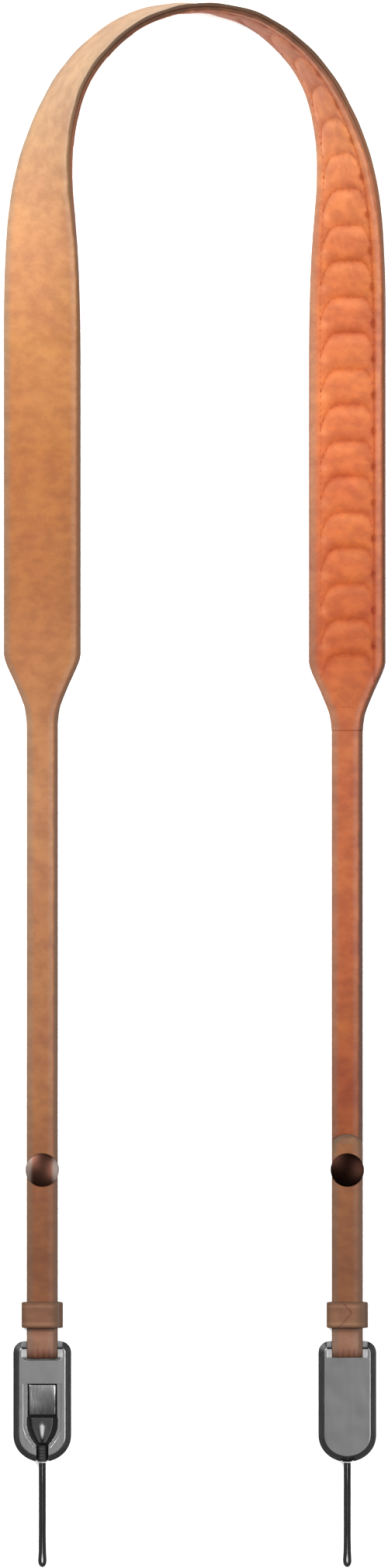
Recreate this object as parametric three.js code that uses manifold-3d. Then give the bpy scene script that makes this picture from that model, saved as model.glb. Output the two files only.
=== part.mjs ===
// Camera neck strap of leather, with a quilted neck pad and a quick-release buckle at each end.
// It lies on a flat surface as an upturned U. The left leg shows its grain side and the right leg
// its quilted inner side, so the arch between them stands on its lower edge and turns the strap over.
// Millimetres. +X is to the right leg, +Y to the top of the arch, +Z up. The origin is on the
// surface, under the middle of the strap's box without the cords. Heights named "up" are drawn from
// a zero of their own, and the whole strap is moved to the origin at the end.

import * as THREE from "three";
import { mergeVertices } from "three/addons/utils/BufferGeometryUtils.js";
import Module from "manifold-3d";

const wasm = await Module();
wasm.setup();

// Driving dimensions
const GAP = 0.3; // between neighbouring pieces
const LEG_X = 55; // from the middle of the strap to the middle of each leg
const NARROW_WIDTH = 11.2;
const PAD_WIDTH = 27.7;
const LEATHER = 1.6; // thickness of the long band
const BAND_BEVEL = 0.35; // on the band's four long corners
const PAD_END_UP = { left: 45.5, right: 42.8 }; // where the full width ends on each leg
const TAIL_TIP_UP = -126.3; // where the folded end stops
const TAIL_ROUND = 4; // length of the tail's rounded tip
const LINING = { border: 1.3, crown: 0.9, margin: 4.2, endThickness: 0.5, inset: 0.15 };
const PUFFS = 41; // quilted cushions from one pad end to the other
const SNAP_UP = -139.2;
const SNAP = { radius: 6, height: 1.1, rim: 0.35, post: 1.9, postHole: 2.2, sides: 20 };
const KEEPER = { up: -191.5, length: 9.3, width: 15, wall: 1.2, corner: 2 };
const BUCKLE = { top: -200.9, width: 20.9, length: 43.6, thickness: 6, corner: 4, chin: 9.5 };
const BUCKLE_BEVEL = { across: 2.2, deep: 1.4 };
const BAR = { depth: 3, radius: 1, opening: 14.8 }; // the bar that the band folds round
const SLOT = { low: -6.9, corner: 1.8 }; // lower wall of the band's slot, from the buckle's top
const SILL = { reach: 1, height: 0.6 }; // ledge at the foot of that wall
const FOLD_SLACK = 1.6; // how far the folded band stands off below the bar
const TAB = { top: -15.6, length: 11.2, width: 9.8, base: 2.7, dish: 0.8 };
const POCKET_FLOOR = 1.6;
const FRAME_FLOOR = 5.2;
const ANCHOR = { base: 1.9, depth: 3, bevel: 0.7 };
const MOUTH = { half: 2.25, floor: 1.2 };
const FERRULE = { top: -37.5, length: 6.1, halfWidth: 1.95, halfDepth: 1.5 };
const CORD = { diameter: 1.25, sides: 8, steps: 56, spread: 0.65, eye: 0.88 };

// The right half of the arch, from its top to where the leg lies flat: the middle line of the
// band's inner face, and how far the band has turned from standing on its edge, in degrees.
const ARCH = [
  { across: 0, up: 280, twist: 0 },
  { across: 11.8, up: 278.5, twist: 4.6 },
  { across: 22.7, up: 274.5, twist: 9.2 },
  { across: 32.2, up: 267.7, twist: 13.4 },
  { across: 39.6, up: 260, twist: 17 },
  { across: 45.4, up: 250.9, twist: 21.8 },
  { across: 49.7, up: 240, twist: 28.6 },
  { across: 52.8, up: 228, twist: 37.6 },
  { across: 54.5, up: 215.5, twist: 48 },
  { across: 55, up: 203.5, twist: 58.5 },
  { across: 55, up: 191.5, twist: 68 },
  { across: 55, up: 179, twist: 77 },
  { across: 55, up: 166, twist: 85 },
  { across: 55, up: 152, twist: 90 },
  { across: 55, up: 138, twist: 90 },
];
const FLAT_UP = 152; // below this each leg lies flat
const LEAN = { from: 215, degrees: 2.7 }; // the arch's top edge leans inwards, most at its top

// How the pad's width falls to the narrow strap's, measured down the leg from the pad's end.
const TAPER = [
  { down: -1.2, share: 1 },
  { down: 0.9, share: 0.955 },
  { down: 3.6, share: 0.83 },
  { down: 9.2, share: 0.515 },
  { down: 14.8, share: 0.23 },
  { down: 17.6, share: 0.105 },
  { down: 20.4, share: 0.045 },
  { down: 24, share: 0 },
];

// Height of the band's inner face over the surface along each flat leg. The left leg lies on its
// quilting, the right leg on its grain side, and both rise to the folded end.
const LIFT = [
  { up: -118, left: 3.4, right: 3.1 },
  { up: -78, left: 0.15, right: LEATHER },
  { up: -8, left: 0.15, right: LEATHER },
  { up: 26, left: 1.4, right: LEATHER },
  { up: 48, left: 2.5, right: LEATHER },
  { up: FLAT_UP, left: 2.5, right: LEATHER },
];

// The two layers of a folded end: height of each layer's inner face at the keeper and at the bar.
const BAR_MIDDLE = BUCKLE.thickness / 2;
const FOLD_RADIUS = BAR.radius + GAP;
const FOLD_UP = BUCKLE.top - BAR.depth + BAR.radius - FOLD_SLACK;
const FOLD = {
  lower: { keeper: 3.1, bar: BAR_MIDDLE - FOLD_RADIUS },
  upper: { keeper: 3.4, bar: BAR_MIDDLE + FOLD_RADIUS },
};
const PART_UP = KEEPER.up - KEEPER.length / 2 - 0.2; // the layers part here, below the keeper
const SPREAD_UP = BUCKLE.top + 0.2; // and are fully apart here, above the bar
const STACK = { low: FOLD.lower.keeper - LEATHER, high: FOLD.upper.keeper + LEATHER };

// How far a quilted cushion rises across the pad. Along the pad it rises between two grooves, and
// each groove is an arc whose ends lie further along than its middle, by a share of the pitch.
const GROOVE = { bow: 0.38, floor: 0.15, stations: 4 };
const PUFF_ACROSS = [
  { at: -1, rise: 0 },
  { at: -0.86, rise: 0.72 },
  { at: -0.45, rise: 1 },
  { at: 0.45, rise: 1 },
  { at: 0.86, rise: 0.72 },
  { at: 1, rise: 0 },
];

// Buckle outlines, as half widths down from the buckle's top.
const FRAME_ROWS = [
  { up: -15.3, half: 6.9 },
  { up: -31.5, half: 6.9 },
  { up: -35, half: 5.6 },
  { up: -38.4, half: 3 },
];
const POCKET_ROWS = [
  { up: -15.3, half: 5.3 },
  { up: -26.9, half: 5.4 },
  { up: -28.2, half: 5.7 },
  { up: -31.6, half: 5.5 },
  { up: -34.4, half: 4.5 },
  { up: -36.4, half: 3.2 },
  { up: -37.8, half: 2 },
];
const ANCHOR_ROWS = [
  { up: -27.3, half: 4.3 },
  { up: -30.9, half: 4.1 },
  { up: -33.5, half: 3.3 },
  { up: -35.5, half: 2.3 },
  { up: -37.1, half: 1.5 },
];

// Materials
function finish(color, roughness, metalness) {
  return new THREE.MeshStandardMaterial({ color, roughness, metalness });
}

const MATERIALS = {
  grain: () => finish(0xbd7c4d, 0.55, 0),
  lining: () => finish(0xd9733f, 0.6, 0),
  alloy: () => finish(0x7f7f80, 0.42, 0.7),
  tab: () => finish(0x8d8d8e, 0.38, 0.7),
  anchor: () => finish(0x3a3a3b, 0.4, 0.3),
  cap: () => finish(0x4a3f3b, 0.22, 0.9),
  rubber: () => finish(0x17171a, 0.7, 0),
  cord: () => finish(0x242427, 0.85, 0),
};

// Value of one column of a table at a height, easing from row to row.
function eased(rows, place, column, at) {
  if (at <= rows[0][place]) return rows[0][column];
  for (let i = 1; i < rows.length; i += 1) {
    const low = rows[i - 1];
    const high = rows[i];
    if (at <= high[place]) {
      const share = THREE.MathUtils.smoothstep(at, low[place], high[place]);
      return THREE.MathUtils.lerp(low[column], high[column], share);
    }
  }
  return rows[rows.length - 1][column];
}

// Value of one column of a table, on straight lines from row to row.
function straight(rows, place, column, at) {
  if (at <= rows[0][place]) return rows[0][column];
  for (let i = 1; i < rows.length; i += 1) {
    const low = rows[i - 1];
    const high = rows[i];
    if (at <= high[place]) {
      const share = (at - low[place]) / (high[place] - low[place]);
      return THREE.MathUtils.lerp(low[column], high[column], share);
    }
  }
  return rows[rows.length - 1][column];
}

// Whole middle line in plan, from the left fold over the arch to the right fold. The third
// coordinate carries the twist: positive on the left leg, negative on the right.
class MiddleLine {
  constructor() {
    const right = ARCH.map((row) => new THREE.Vector3(row.across, row.up, -row.twist));
    const left = ARCH.slice(1).map((row) => new THREE.Vector3(-row.across, row.up, row.twist));
    const points = [...left.reverse(), ...right];
    const samples = new THREE.CatmullRomCurve3(points, false, "catmullrom", 0.5).getPoints(60 * ARCH.length);
    const legEnd = samples[0].clone().setY(FOLD_UP);
    this.samples = [legEnd, ...samples, legEnd.clone().set(LEG_X, FOLD_UP, -90)];
    this.lengths = [0];
    for (let i = 1; i < this.samples.length; i += 1) {
      const a = this.samples[i - 1];
      const b = this.samples[i];
      this.lengths.push(this.lengths[i - 1] + Math.hypot(b.x - a.x, b.y - a.y));
    }
    this.total = this.lengths[this.lengths.length - 1];
  }

  // Distance along the middle line of a height on one flat leg.
  distance(side, up) {
    return side === "left" ? up - FOLD_UP : this.total - (up - FOLD_UP);
  }

  // The band's place and directions at a distance: origin on its inner face, across its width
  // and out of its grain side.
  frame(distance) {
    let i = this.lengths.findIndex((length) => length >= distance - 1e-9);
    i = Math.max(1, i < 0 ? this.lengths.length - 1 : i);
    const a = this.samples[i - 1];
    const b = this.samples[i];
    const share = (distance - this.lengths[i - 1]) / (this.lengths[i] - this.lengths[i - 1]);
    const at = a.clone().lerp(b, THREE.MathUtils.clamp(share, 0, 1));
    const along = new THREE.Vector2(b.x - a.x, b.y - a.y).normalize();
    const outward = new THREE.Vector3(-along.y, along.x, 0);
    const lean = LEAN.degrees * THREE.MathUtils.smoothstep(at.y, LEAN.from, ARCH[0].up);
    const inwards = (PAD_WIDTH / 2) * Math.sin(THREE.MathUtils.degToRad(lean));
    const twist = THREE.MathUtils.degToRad(THREE.MathUtils.clamp(at.z + lean, -90, 90));
    const sin = Math.sin(twist);
    const cos = Math.cos(twist);
    const side = at.x < 0 ? "left" : "right";
    const flat = at.y <= FLAT_UP;
    const depth = LIFT[LIFT.length - 1][side];
    const height = flat ? layerHeight(side, at.y) : (PAD_WIDTH / 2) * cos + depth * Math.abs(sin);
    return {
      side,
      up: at.y,
      origin: new THREE.Vector3(at.x, at.y, height).addScaledVector(outward, -inwards),
      across: outward.clone().multiplyScalar(-sin).setZ(cos),
      out: outward.clone().multiplyScalar(cos).setZ(sin),
    };
  }
}

// Height of the main layer's inner face on a flat leg, folded end included.
function layerHeight(side, up) {
  const layer = side === "left" ? FOLD.upper : FOLD.lower;
  if (up > KEEPER.up) return eased(LIFT, "up", side, up);
  return foldHeight(layer, up);
}

// Height of a layer's inner face between the bar and the keeper.
function foldHeight(layer, up) {
  return eased([{ up: SPREAD_UP, z: layer.bar }, { up: PART_UP, z: layer.keeper }], "up", "z", up);
}

// Half width of the band on a leg.
function halfWidth(side, up) {
  const share = straight(TAPER, "down", "share", PAD_END_UP[side] - up);
  return THREE.MathUtils.lerp(NARROW_WIDTH, PAD_WIDTH, share) / 2;
}

// Closed solid through rings of points that run anticlockwise round the band, seen from its start.
// Each face is split from its higher corner, so that neighbouring layers split alike.
function sweep(rings) {
  const corners = rings[0].length;
  const position = rings.flat().flatMap((p) => [p.x, p.y, p.z]);
  const index = [];
  for (let i = 0; i + 1 < rings.length; i += 1) {
    for (let k = 0; k < corners; k += 1) {
      const a = i * corners + k;
      const b = i * corners + ((k + 1) % corners);
      if (rings[i][(k + 1) % corners].z > rings[i][k].z) {
        index.push(b, a, a + corners);
        index.push(b, a + corners, b + corners);
      } else {
        index.push(b, a, b + corners);
        index.push(a, a + corners, b + corners);
      }
    }
  }
  const last = (rings.length - 1) * corners;
  for (let k = 1; k + 1 < corners; k += 1) {
    index.push(0, k, k + 1);
    index.push(last, last + k + 1, last + k);
  }
  const geometry = new THREE.BufferGeometry();
  geometry.setAttribute("position", new THREE.Float32BufferAttribute(position, 3));
  geometry.setIndex(index);
  geometry.computeVertexNormals();
  return geometry;
}

// Ring of a section, from points given across the band and out of its inner face.
function ring(frame, points) {
  return points.map(([across, out]) =>
    frame.origin.clone().addScaledVector(frame.across, across).addScaledVector(frame.out, out),
  );
}

// Section of the band: a flat bar with bevelled corners.
function bandSection(half) {
  const c = BAND_BEVEL;
  const t = LEATHER;
  return [
    [half, c],
    [half, t - c],
    [half - c, t],
    [c - half, t],
    [-half, t - c],
    [-half, c],
    [c - half, 0],
    [half - c, 0],
  ];
}

// Even steps from one value to another, both ends included.
function steps(from, to, longest) {
  const count = Math.max(1, Math.ceil(Math.abs(to - from) / longest));
  return Array.from({ length: count + 1 }, (_, i) => from + ((to - from) * i) / count);
}

const middle = new MiddleLine();

// Distances of the main run's sections, from one fold to the other.
function mainDistances() {
  const leg = (side) => [
    FOLD_UP,
    ...steps(SPREAD_UP, PART_UP, 1.2),
    KEEPER.up,
    SNAP_UP - 8,
    SNAP_UP + 8,
    ...steps(-118, -78, 8),
    -8,
    ...steps(0, PAD_END_UP[side] - 25, 8),
  ];
  const left = leg("left").map((up) => middle.distance("left", up));
  const right = leg("right").map((up) => middle.distance("right", up));
  const pad = padPlaces().map((place) => place.distance);
  const sorted = [...left, ...pad, ...right].sort((a, b) => a - b);
  return sorted.filter((d, i) => i === 0 || d - sorted[i - 1] > 0.05);
}

// Rings of a folded end, from the tail's tip to the fold's last point on the main layer.
function foldedEnd(side) {
  const tail = side === "left" ? FOLD.lower : FOLD.upper;
  const face = side === "left" ? -1 : 1;
  const half = NARROW_WIDTH / 2;
  const x = side === "left" ? -LEG_X : LEG_X;
  const across = new THREE.Vector3(1, 0, 0);
  const rings = [];
  const add = (up, z, outY, outZ, width) => {
    const frame = { origin: new THREE.Vector3(x, up, z), across, out: new THREE.Vector3(0, outY, outZ) };
    rings.push(ring(frame, bandSection(width)));
  };
  for (const share of [0.05, 0.14, 0.3, 0.55, 1]) {
    const width = half * Math.sqrt(1 - (1 - share) ** 2);
    add(TAIL_TIP_UP - TAIL_ROUND * (share - 0.05), tail.keeper, 0, face, width);
  }
  add(SNAP_UP + 6, tail.keeper, 0, face, half);
  add(KEEPER.up, tail.keeper, 0, face, half);
  for (const up of steps(PART_UP, SPREAD_UP, 1.2)) add(up, foldHeight(tail, up), 0, face, half);
  for (const angle of steps(-90, 90, 22.5).slice(0, -1)) {
    const turn = THREE.MathUtils.degToRad(angle) * -face;
    const outY = -Math.cos(turn);
    const outZ = Math.sin(turn);
    add(FOLD_UP + FOLD_RADIUS * outY, BAR_MIDDLE + FOLD_RADIUS * outZ, outY, outZ, half);
  }
  return rings;
}

// Long leather band: left tail, left fold, main run over the arch, right fold and right tail.
function bandGeometry() {
  const main = mainDistances().map((distance) => {
    const frame = middle.frame(distance);
    return ring(frame, bandSection(halfWidth(frame.side, frame.up)));
  });
  const rings = [...foldedEnd("left"), ...main, ...foldedEnd("right").reverse()];
  let solid = solidOf(sweep(rings));
  for (const x of [-LEG_X, LEG_X]) {
    const hole = new THREE.CylinderGeometry(SNAP.postHole, SNAP.postHole, BUCKLE.thickness, 12);
    hole.rotateX(Math.PI / 2).translate(x, SNAP_UP, BAR_MIDDLE);
    solid = solid.subtract(solidOf(hole));
  }
  return geometryOf(solid);
}

// Places along the pad and its tapers, with how far the lining's cushions rise at each. The band
// and the lining share them, so that both turn in step.
function padPlaces() {
  const start = middle.distance("left", PAD_END_UP.left);
  const end = middle.distance("right", PAD_END_UP.right);
  const places = steps(start, end, (end - start) / (PUFFS * GROOVE.stations)).map((distance) => {
    const phase = (PUFFS * (distance - start)) / (end - start);
    return { distance, rise: (at) => cushion(phase - GROOVE.bow * at ** 2) };
  });
  for (const row of TAPER.slice(1)) {
    const swell = 1.8 * row.share * (1 - row.share);
    places.push({ distance: start - row.down, rise: () => swell });
    places.push({ distance: end + row.down, rise: () => swell });
  }
  return places.sort((a, b) => a.distance - b.distance);
}

// Rise of the cushions at a phase that grows by 1 from groove to groove.
function cushion(phase) {
  return GROOVE.floor + (1 - GROOVE.floor) * Math.sin(Math.PI * phase) ** 2;
}

// Quilted lining on the band's inner side, with a row of cushions and a flat border.
function liningGeometry() {
  return sweep(padPlaces().map(liningRing));
}

function liningRing({ distance, rise }) {
  const frame = middle.frame(distance);
  const outer = halfWidth(frame.side, frame.up);
  const half = outer - LINING.inset;
  const widthShare = (outer * 2 - NARROW_WIDTH) / (PAD_WIDTH - NARROW_WIDTH);
  const border = THREE.MathUtils.lerp(LINING.endThickness, LINING.border, Math.min(1, widthShare * 1.6));
  const puffHalf = half - LINING.margin * Math.max(0.25, widthShare);
  const surface = -GAP - border;
  const crown = PUFF_ACROSS.map(({ at, rise: up }) => [at * puffHalf, surface - LINING.crown * up * rise(at)]);
  return ring(frame, [
    [half, -GAP],
    [-half, -GAP],
    [-half, surface],
    ...crown,
    [half, surface],
  ]);
}

// A closed mesh as a solid that can be cut, and back.
function solidOf(geometry) {
  const bare = geometry.index ? geometry.toNonIndexed() : geometry.clone();
  bare.deleteAttribute("normal");
  bare.deleteAttribute("uv");
  const merged = mergeVertices(bare, 1e-4);
  const vertProperties = merged.getAttribute("position").array;
  const triVerts = new Uint32Array(merged.index.array);
  return new wasm.Manifold(new wasm.Mesh({ numProp: 3, vertProperties, triVerts }));
}

function geometryOf(solid) {
  const mesh = solid.getMesh();
  const geometry = new THREE.BufferGeometry();
  geometry.setAttribute("position", new THREE.Float32BufferAttribute(mesh.vertProperties, 3));
  geometry.setIndex(Array.from(mesh.triVerts));
  geometry.computeVertexNormals();
  return geometry;
}

// Points of an arc in degrees, both ends included, with a radius for each direction.
function arc(x, y, radiusX, radiusY, from, to, count) {
  return steps(from, to, Math.abs(to - from) / count).map((angle) => {
    const turn = THREE.MathUtils.degToRad(angle);
    return new THREE.Vector2(x + radiusX * Math.cos(turn), y + radiusY * Math.sin(turn));
  });
}

// Outline that is the same on both sides, from rows of half widths.
function mirroredOutline(rows) {
  const right = rows.map((row) => new THREE.Vector2(row.half, row.up));
  const left = rows.map((row) => new THREE.Vector2(-row.half, row.up)).reverse();
  return new THREE.Shape([...right, ...left]);
}

// Straight-walled solid over an outline, between two heights.
function prism(shape, low, high) {
  return new THREE.ExtrudeGeometry(shape, { depth: high - low, bevelEnabled: false }).translate(0, 0, low);
}

// Buckle body: a flat capsule with a bar for the band, a slot, a tab bay, an anchor pocket and a mouth.
function buckleGeometry() {
  const half = BUCKLE.width / 2;
  const c = BUCKLE.corner;
  const chinUp = BUCKLE.chin - BUCKLE.length;
  const outline = new THREE.Shape([
    ...arc(half - c, -c, c, c, 0, 90, 5),
    ...arc(c - half, -c, c, c, 90, 180, 5),
    ...arc(0, chinUp, half, BUCKLE.chin, 180, 360, 20),
  ]);
  const { across, deep } = BUCKLE_BEVEL;
  const options = { depth: BUCKLE.thickness - 2 * deep, bevelEnabled: true, bevelSegments: 1 };
  Object.assign(options, { bevelSize: across, bevelThickness: deep, bevelOffset: -across });
  const plate = new THREE.ExtrudeGeometry(outline, options).translate(0, 0, deep);
  const past = BUCKLE.thickness + 1;
  const mouth = new THREE.Shape([
    new THREE.Vector2(-MOUTH.half, FERRULE.top + GAP),
    new THREE.Vector2(-MOUTH.half, -BUCKLE.length - 1),
    new THREE.Vector2(MOUTH.half, -BUCKLE.length - 1),
    new THREE.Vector2(MOUTH.half, FERRULE.top + GAP),
  ]);
  const opening = solidOf(bandOpening(past)).intersect(solidOf(prism(openingOutline(), -1, past)));
  const pockets = [
    prism(mirroredOutline(FRAME_ROWS), FRAME_FLOOR, past),
    prism(mirroredOutline(POCKET_ROWS), POCKET_FLOOR, past),
    prism(mouth, MOUTH.floor, past),
  ];
  let solid = solidOf(plate).subtract(opening);
  for (const pocket of pockets) solid = solid.subtract(solidOf(pocket));
  return geometryOf(solid);
}

// The band opening from above: open at the buckle's top and round in its lower corners.
function openingOutline() {
  const half = BAR.opening / 2;
  const c = SLOT.corner;
  return new THREE.Shape([
    new THREE.Vector2(-half, 2),
    ...arc(c - half, SLOT.low + c, c, c, 180, 270, 5),
    ...arc(half - c, SLOT.low + c, c, c, 270, 360, 5),
    new THREE.Vector2(half, 2),
  ]);
}

// Space round the bar: everything above the slot's lower wall but the bar itself, drawn in
// side view and run across the buckle.
function bandOpening(past) {
  const above = 2;
  const barEnd = BAR.radius - BAR.depth;
  const profile = new THREE.Shape([
    new THREE.Vector2(above, -1),
    new THREE.Vector2(above, BAR_MIDDLE - BAR.radius),
    ...arc(barEnd, BAR_MIDDLE, BAR.radius, BAR.radius, 270, 90, 8),
    new THREE.Vector2(above, BAR_MIDDLE + BAR.radius),
    new THREE.Vector2(above, past),
    new THREE.Vector2(SLOT.low, past),
    new THREE.Vector2(SLOT.low, SILL.height),
    new THREE.Vector2(SLOT.low + SILL.reach, SILL.height),
    new THREE.Vector2(SLOT.low + SILL.reach, -1),
  ]);
  const geometry = new THREE.ExtrudeGeometry(profile, { depth: BAR.opening, bevelEnabled: false });
  const turn = new THREE.Matrix4().makeBasis(
    new THREE.Vector3(0, 1, 0),
    new THREE.Vector3(0, 0, 1),
    new THREE.Vector3(1, 0, 0),
  );
  return geometry.applyMatrix4(turn).translate(-BAR.opening / 2, 0, 0);
}

// Release tab: a thumb plate whose face dips towards its lower end.
function tabGeometry() {
  const low = TAB.top - TAB.length;
  const face = BUCKLE.thickness - 0.25;
  const profile = new THREE.Shape([
    new THREE.Vector2(TAB.top, TAB.base),
    new THREE.Vector2(TAB.top, face - 0.4),
    new THREE.Vector2(TAB.top - 0.5, face),
    new THREE.Vector2(TAB.top - TAB.length * 0.35, face - TAB.dish * 0.3),
    new THREE.Vector2(TAB.top - TAB.length * 0.7, face - TAB.dish),
    new THREE.Vector2(low + 0.5, face - TAB.dish),
    new THREE.Vector2(low, face - TAB.dish - 0.5),
    new THREE.Vector2(low, TAB.base),
  ]);
  const geometry = new THREE.ExtrudeGeometry(profile, { depth: TAB.width, bevelEnabled: false });
  const turn = new THREE.Matrix4().makeBasis(
    new THREE.Vector3(0, 1, 0),
    new THREE.Vector3(0, 0, 1),
    new THREE.Vector3(1, 0, 0),
  );
  return geometry.applyMatrix4(turn).translate(-TAB.width / 2, 0, 0);
}

// Anchor: the tapered plug on the cord, held in the buckle's pocket.
function anchorGeometry() {
  const { base, depth, bevel } = ANCHOR;
  const options = { depth: depth - 2 * bevel, bevelEnabled: true, bevelSegments: 2, bevelSize: bevel };
  Object.assign(options, { bevelThickness: bevel, bevelOffset: -bevel });
  return new THREE.ExtrudeGeometry(mirroredOutline(ANCHOR_ROWS), options).translate(0, 0, base + bevel);
}

// Ferrule: the sleeve in the buckle's mouth that both strands of the cord run into.
function ferruleGeometry() {
  const shape = new THREE.Shape(arc(0, 0, FERRULE.halfWidth, FERRULE.halfDepth, 0, 337.5, 15));
  const geometry = new THREE.ExtrudeGeometry(shape, { depth: FERRULE.length, bevelEnabled: false });
  return geometry.rotateX(Math.PI / 2).translate(0, FERRULE.top, BAR_MIDDLE);
}

// Domed cap with a post that passes through both layers, or without one.
function capGeometry(postLength) {
  const { radius, height, rim, post, sides } = SNAP;
  const dome = [
    new THREE.Vector2(radius, 0),
    new THREE.Vector2(radius, rim),
    new THREE.Vector2(radius * 0.82, rim + (height - rim) * 0.55),
    new THREE.Vector2(radius * 0.5, rim + (height - rim) * 0.88),
    new THREE.Vector2(0, height),
  ];
  const foot = [
    new THREE.Vector2(0, -postLength),
    new THREE.Vector2(post, -postLength),
    new THREE.Vector2(post, 0),
  ];
  const profile = postLength > 0 ? [...foot, ...dome] : [new THREE.Vector2(0, 0), ...dome];
  return new THREE.LatheGeometry(profile, sides).rotateX(Math.PI / 2);
}

// Keeper: a loop of leather round both layers of the folded end.
function keeperGeometry() {
  const high = STACK.high + GAP + KEEPER.wall;
  const shape = roundedBox(KEEPER.width / 2, 0, high, KEEPER.corner);
  const inner = KEEPER.width / 2 - KEEPER.wall;
  shape.holes.push(roundedBox(inner, KEEPER.wall, high - KEEPER.wall, KEEPER.corner - KEEPER.wall));
  const geometry = new THREE.ExtrudeGeometry(shape, { depth: KEEPER.length, bevelEnabled: false });
  return geometry.rotateX(Math.PI / 2).translate(0, KEEPER.up + KEEPER.length / 2, 0);
}

function roundedBox(half, low, high, radius) {
  return new THREE.Shape([
    ...arc(half - radius, high - radius, radius, radius, 0, 90, 4),
    ...arc(radius - half, high - radius, radius, radius, 90, 180, 4),
    ...arc(radius - half, low + radius, radius, radius, 180, 270, 4),
    ...arc(half - radius, low + radius, radius, radius, 270, 360, 4),
  ]);
}

// Route of one cord loop, down from the buckle's end: out along one strand, round the eye and
// back along the other. Columns: distance across from the loop's middle, down from the exit, height.
const CORD_EXIT_UP = BUCKLE.top + FERRULE.top - FERRULE.length - GAP;
const CORD_REST = CORD.diameter / 2 + 0.1;
const CORD_ROUTE = [
  { across: CORD.spread, down: 0, height: BAR_MIDDLE },
  { across: CORD.spread, down: 2.4, height: BAR_MIDDLE },
  { across: CORD.spread, down: 5.6, height: 2.15 },
  { across: CORD.spread, down: 9, height: 1.05 },
  { across: CORD.spread, down: 12.5, height: CORD_REST },
  { across: CORD.spread, down: 19, height: CORD_REST },
  { across: CORD.spread, down: 26, height: CORD_REST },
  { across: CORD.spread + 0.08, down: 32, height: CORD_REST },
  { across: CORD.eye, down: 35.3, height: CORD_REST },
  { across: CORD.eye * 0.72, down: 36.6, height: CORD_REST },
  { across: 0, down: 37.1, height: CORD_REST },
];

function cordGeometry() {
  const out = CORD_ROUTE.map((p) => new THREE.Vector3(p.across, CORD_EXIT_UP - p.down, p.height));
  const back = out.slice(0, -1).map((p) => p.clone().setX(-p.x)).reverse();
  const route = new THREE.CatmullRomCurve3([...out, ...back], false, "centripetal");
  const radius = CORD.diameter / 2;
  const section = new THREE.Shape(arc(0, 0, radius, radius, 0, 360 - 360 / CORD.sides, CORD.sides - 1));
  return new THREE.ExtrudeGeometry(section, { steps: CORD.steps, bevelEnabled: false, extrudePath: route });
}

function piece(name, geometry, material) {
  const mesh = new THREE.Mesh(geometry, material);
  mesh.name = name;
  return mesh;
}

// Hardware of one end. On the right leg it is turned over with the strap, about its own thickness.
function hardware(side) {
  const turnedOver = side === "right";
  const x = turnedOver ? LEG_X : -LEG_X;
  const end = new THREE.Group();
  const place = (group, y, thickness) => {
    group.position.set(x, y, turnedOver ? thickness : 0);
    group.rotation.y = turnedOver ? Math.PI : 0;
    end.add(group);
  };

  const buckle = new THREE.Group();
  buckle.add(piece(`buckle_body_${side}`, buckleGeometry(), MATERIALS.alloy()));
  buckle.add(piece(`release_tab_${side}`, tabGeometry(), MATERIALS.tab()));
  buckle.add(piece(`cord_anchor_${side}`, anchorGeometry(), MATERIALS.anchor()));
  buckle.add(piece(`cord_ferrule_${side}`, ferruleGeometry(), MATERIALS.rubber()));
  place(buckle, BUCKLE.top, BUCKLE.thickness);

  const stackMiddle = STACK.low + STACK.high;
  const folded = new THREE.Group();
  folded.add(piece(`keeper_loop_${side}`, keeperGeometry(), MATERIALS.grain()));
  const postLength = STACK.high - STACK.low + GAP;
  const cap = piece(`snap_cap_${side}`, capGeometry(postLength), MATERIALS.cap());
  cap.position.set(0, SNAP_UP, STACK.high + GAP);
  const back = piece(`snap_back_${side}`, capGeometry(0), MATERIALS.cap());
  back.position.set(0, SNAP_UP, STACK.low - GAP);
  back.rotation.y = Math.PI;
  folded.add(cap, back);
  place(folded, 0, stackMiddle);

  const cord = piece(`cord_loop_${side}`, cordGeometry(), MATERIALS.cord());
  cord.position.x = x;
  end.add(cord);
  return end;
}

const strap = new THREE.Group();
strap.add(piece("leather_band", bandGeometry(), MATERIALS.grain()));
strap.add(piece("quilted_lining", liningGeometry(), MATERIALS.lining()));
strap.add(hardware("left"));
strap.add(hardware("right"));
strap.position.y = -(ARCH[0].up + LEATHER + BUCKLE.top - BUCKLE.length) / 2;

export default strap;
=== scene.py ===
"""Leather camera neck strap, laid down as an upturned U and seen from straight above.

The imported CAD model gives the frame: every piece is built in its row frame and stands for the
node that it names. Tables are in millimetres and meshes in metres. Heights named "up" run along
the legs from the drawing's own zero, as in the part's source, and MIDDLE_UP moves them to the row
frame. The left leg shows its grain side, the right leg its quilted lining.
"""

from __future__ import annotations

import logging
import math
from dataclasses import dataclass
from enum import Enum
from typing import Any, Mapping, Sequence

import bmesh
import bpy
import numpy as np
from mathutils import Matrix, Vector

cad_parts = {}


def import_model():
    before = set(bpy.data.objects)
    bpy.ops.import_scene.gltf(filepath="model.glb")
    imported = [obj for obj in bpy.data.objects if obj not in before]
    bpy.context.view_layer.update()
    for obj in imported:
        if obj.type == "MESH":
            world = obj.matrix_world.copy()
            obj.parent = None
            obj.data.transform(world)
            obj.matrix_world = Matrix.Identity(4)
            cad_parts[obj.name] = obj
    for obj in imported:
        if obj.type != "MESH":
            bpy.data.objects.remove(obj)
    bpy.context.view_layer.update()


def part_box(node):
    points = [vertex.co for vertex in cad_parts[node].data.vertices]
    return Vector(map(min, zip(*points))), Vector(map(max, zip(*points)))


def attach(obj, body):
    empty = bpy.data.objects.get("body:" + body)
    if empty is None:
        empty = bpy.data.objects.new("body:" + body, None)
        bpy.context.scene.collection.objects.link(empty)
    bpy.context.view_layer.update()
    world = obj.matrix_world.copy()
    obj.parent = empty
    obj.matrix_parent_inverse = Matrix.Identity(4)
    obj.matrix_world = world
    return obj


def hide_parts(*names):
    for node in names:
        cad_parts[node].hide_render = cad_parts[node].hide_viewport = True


log = logging.getLogger("strap")

MM = 0.001
BODY = "strap"


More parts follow.
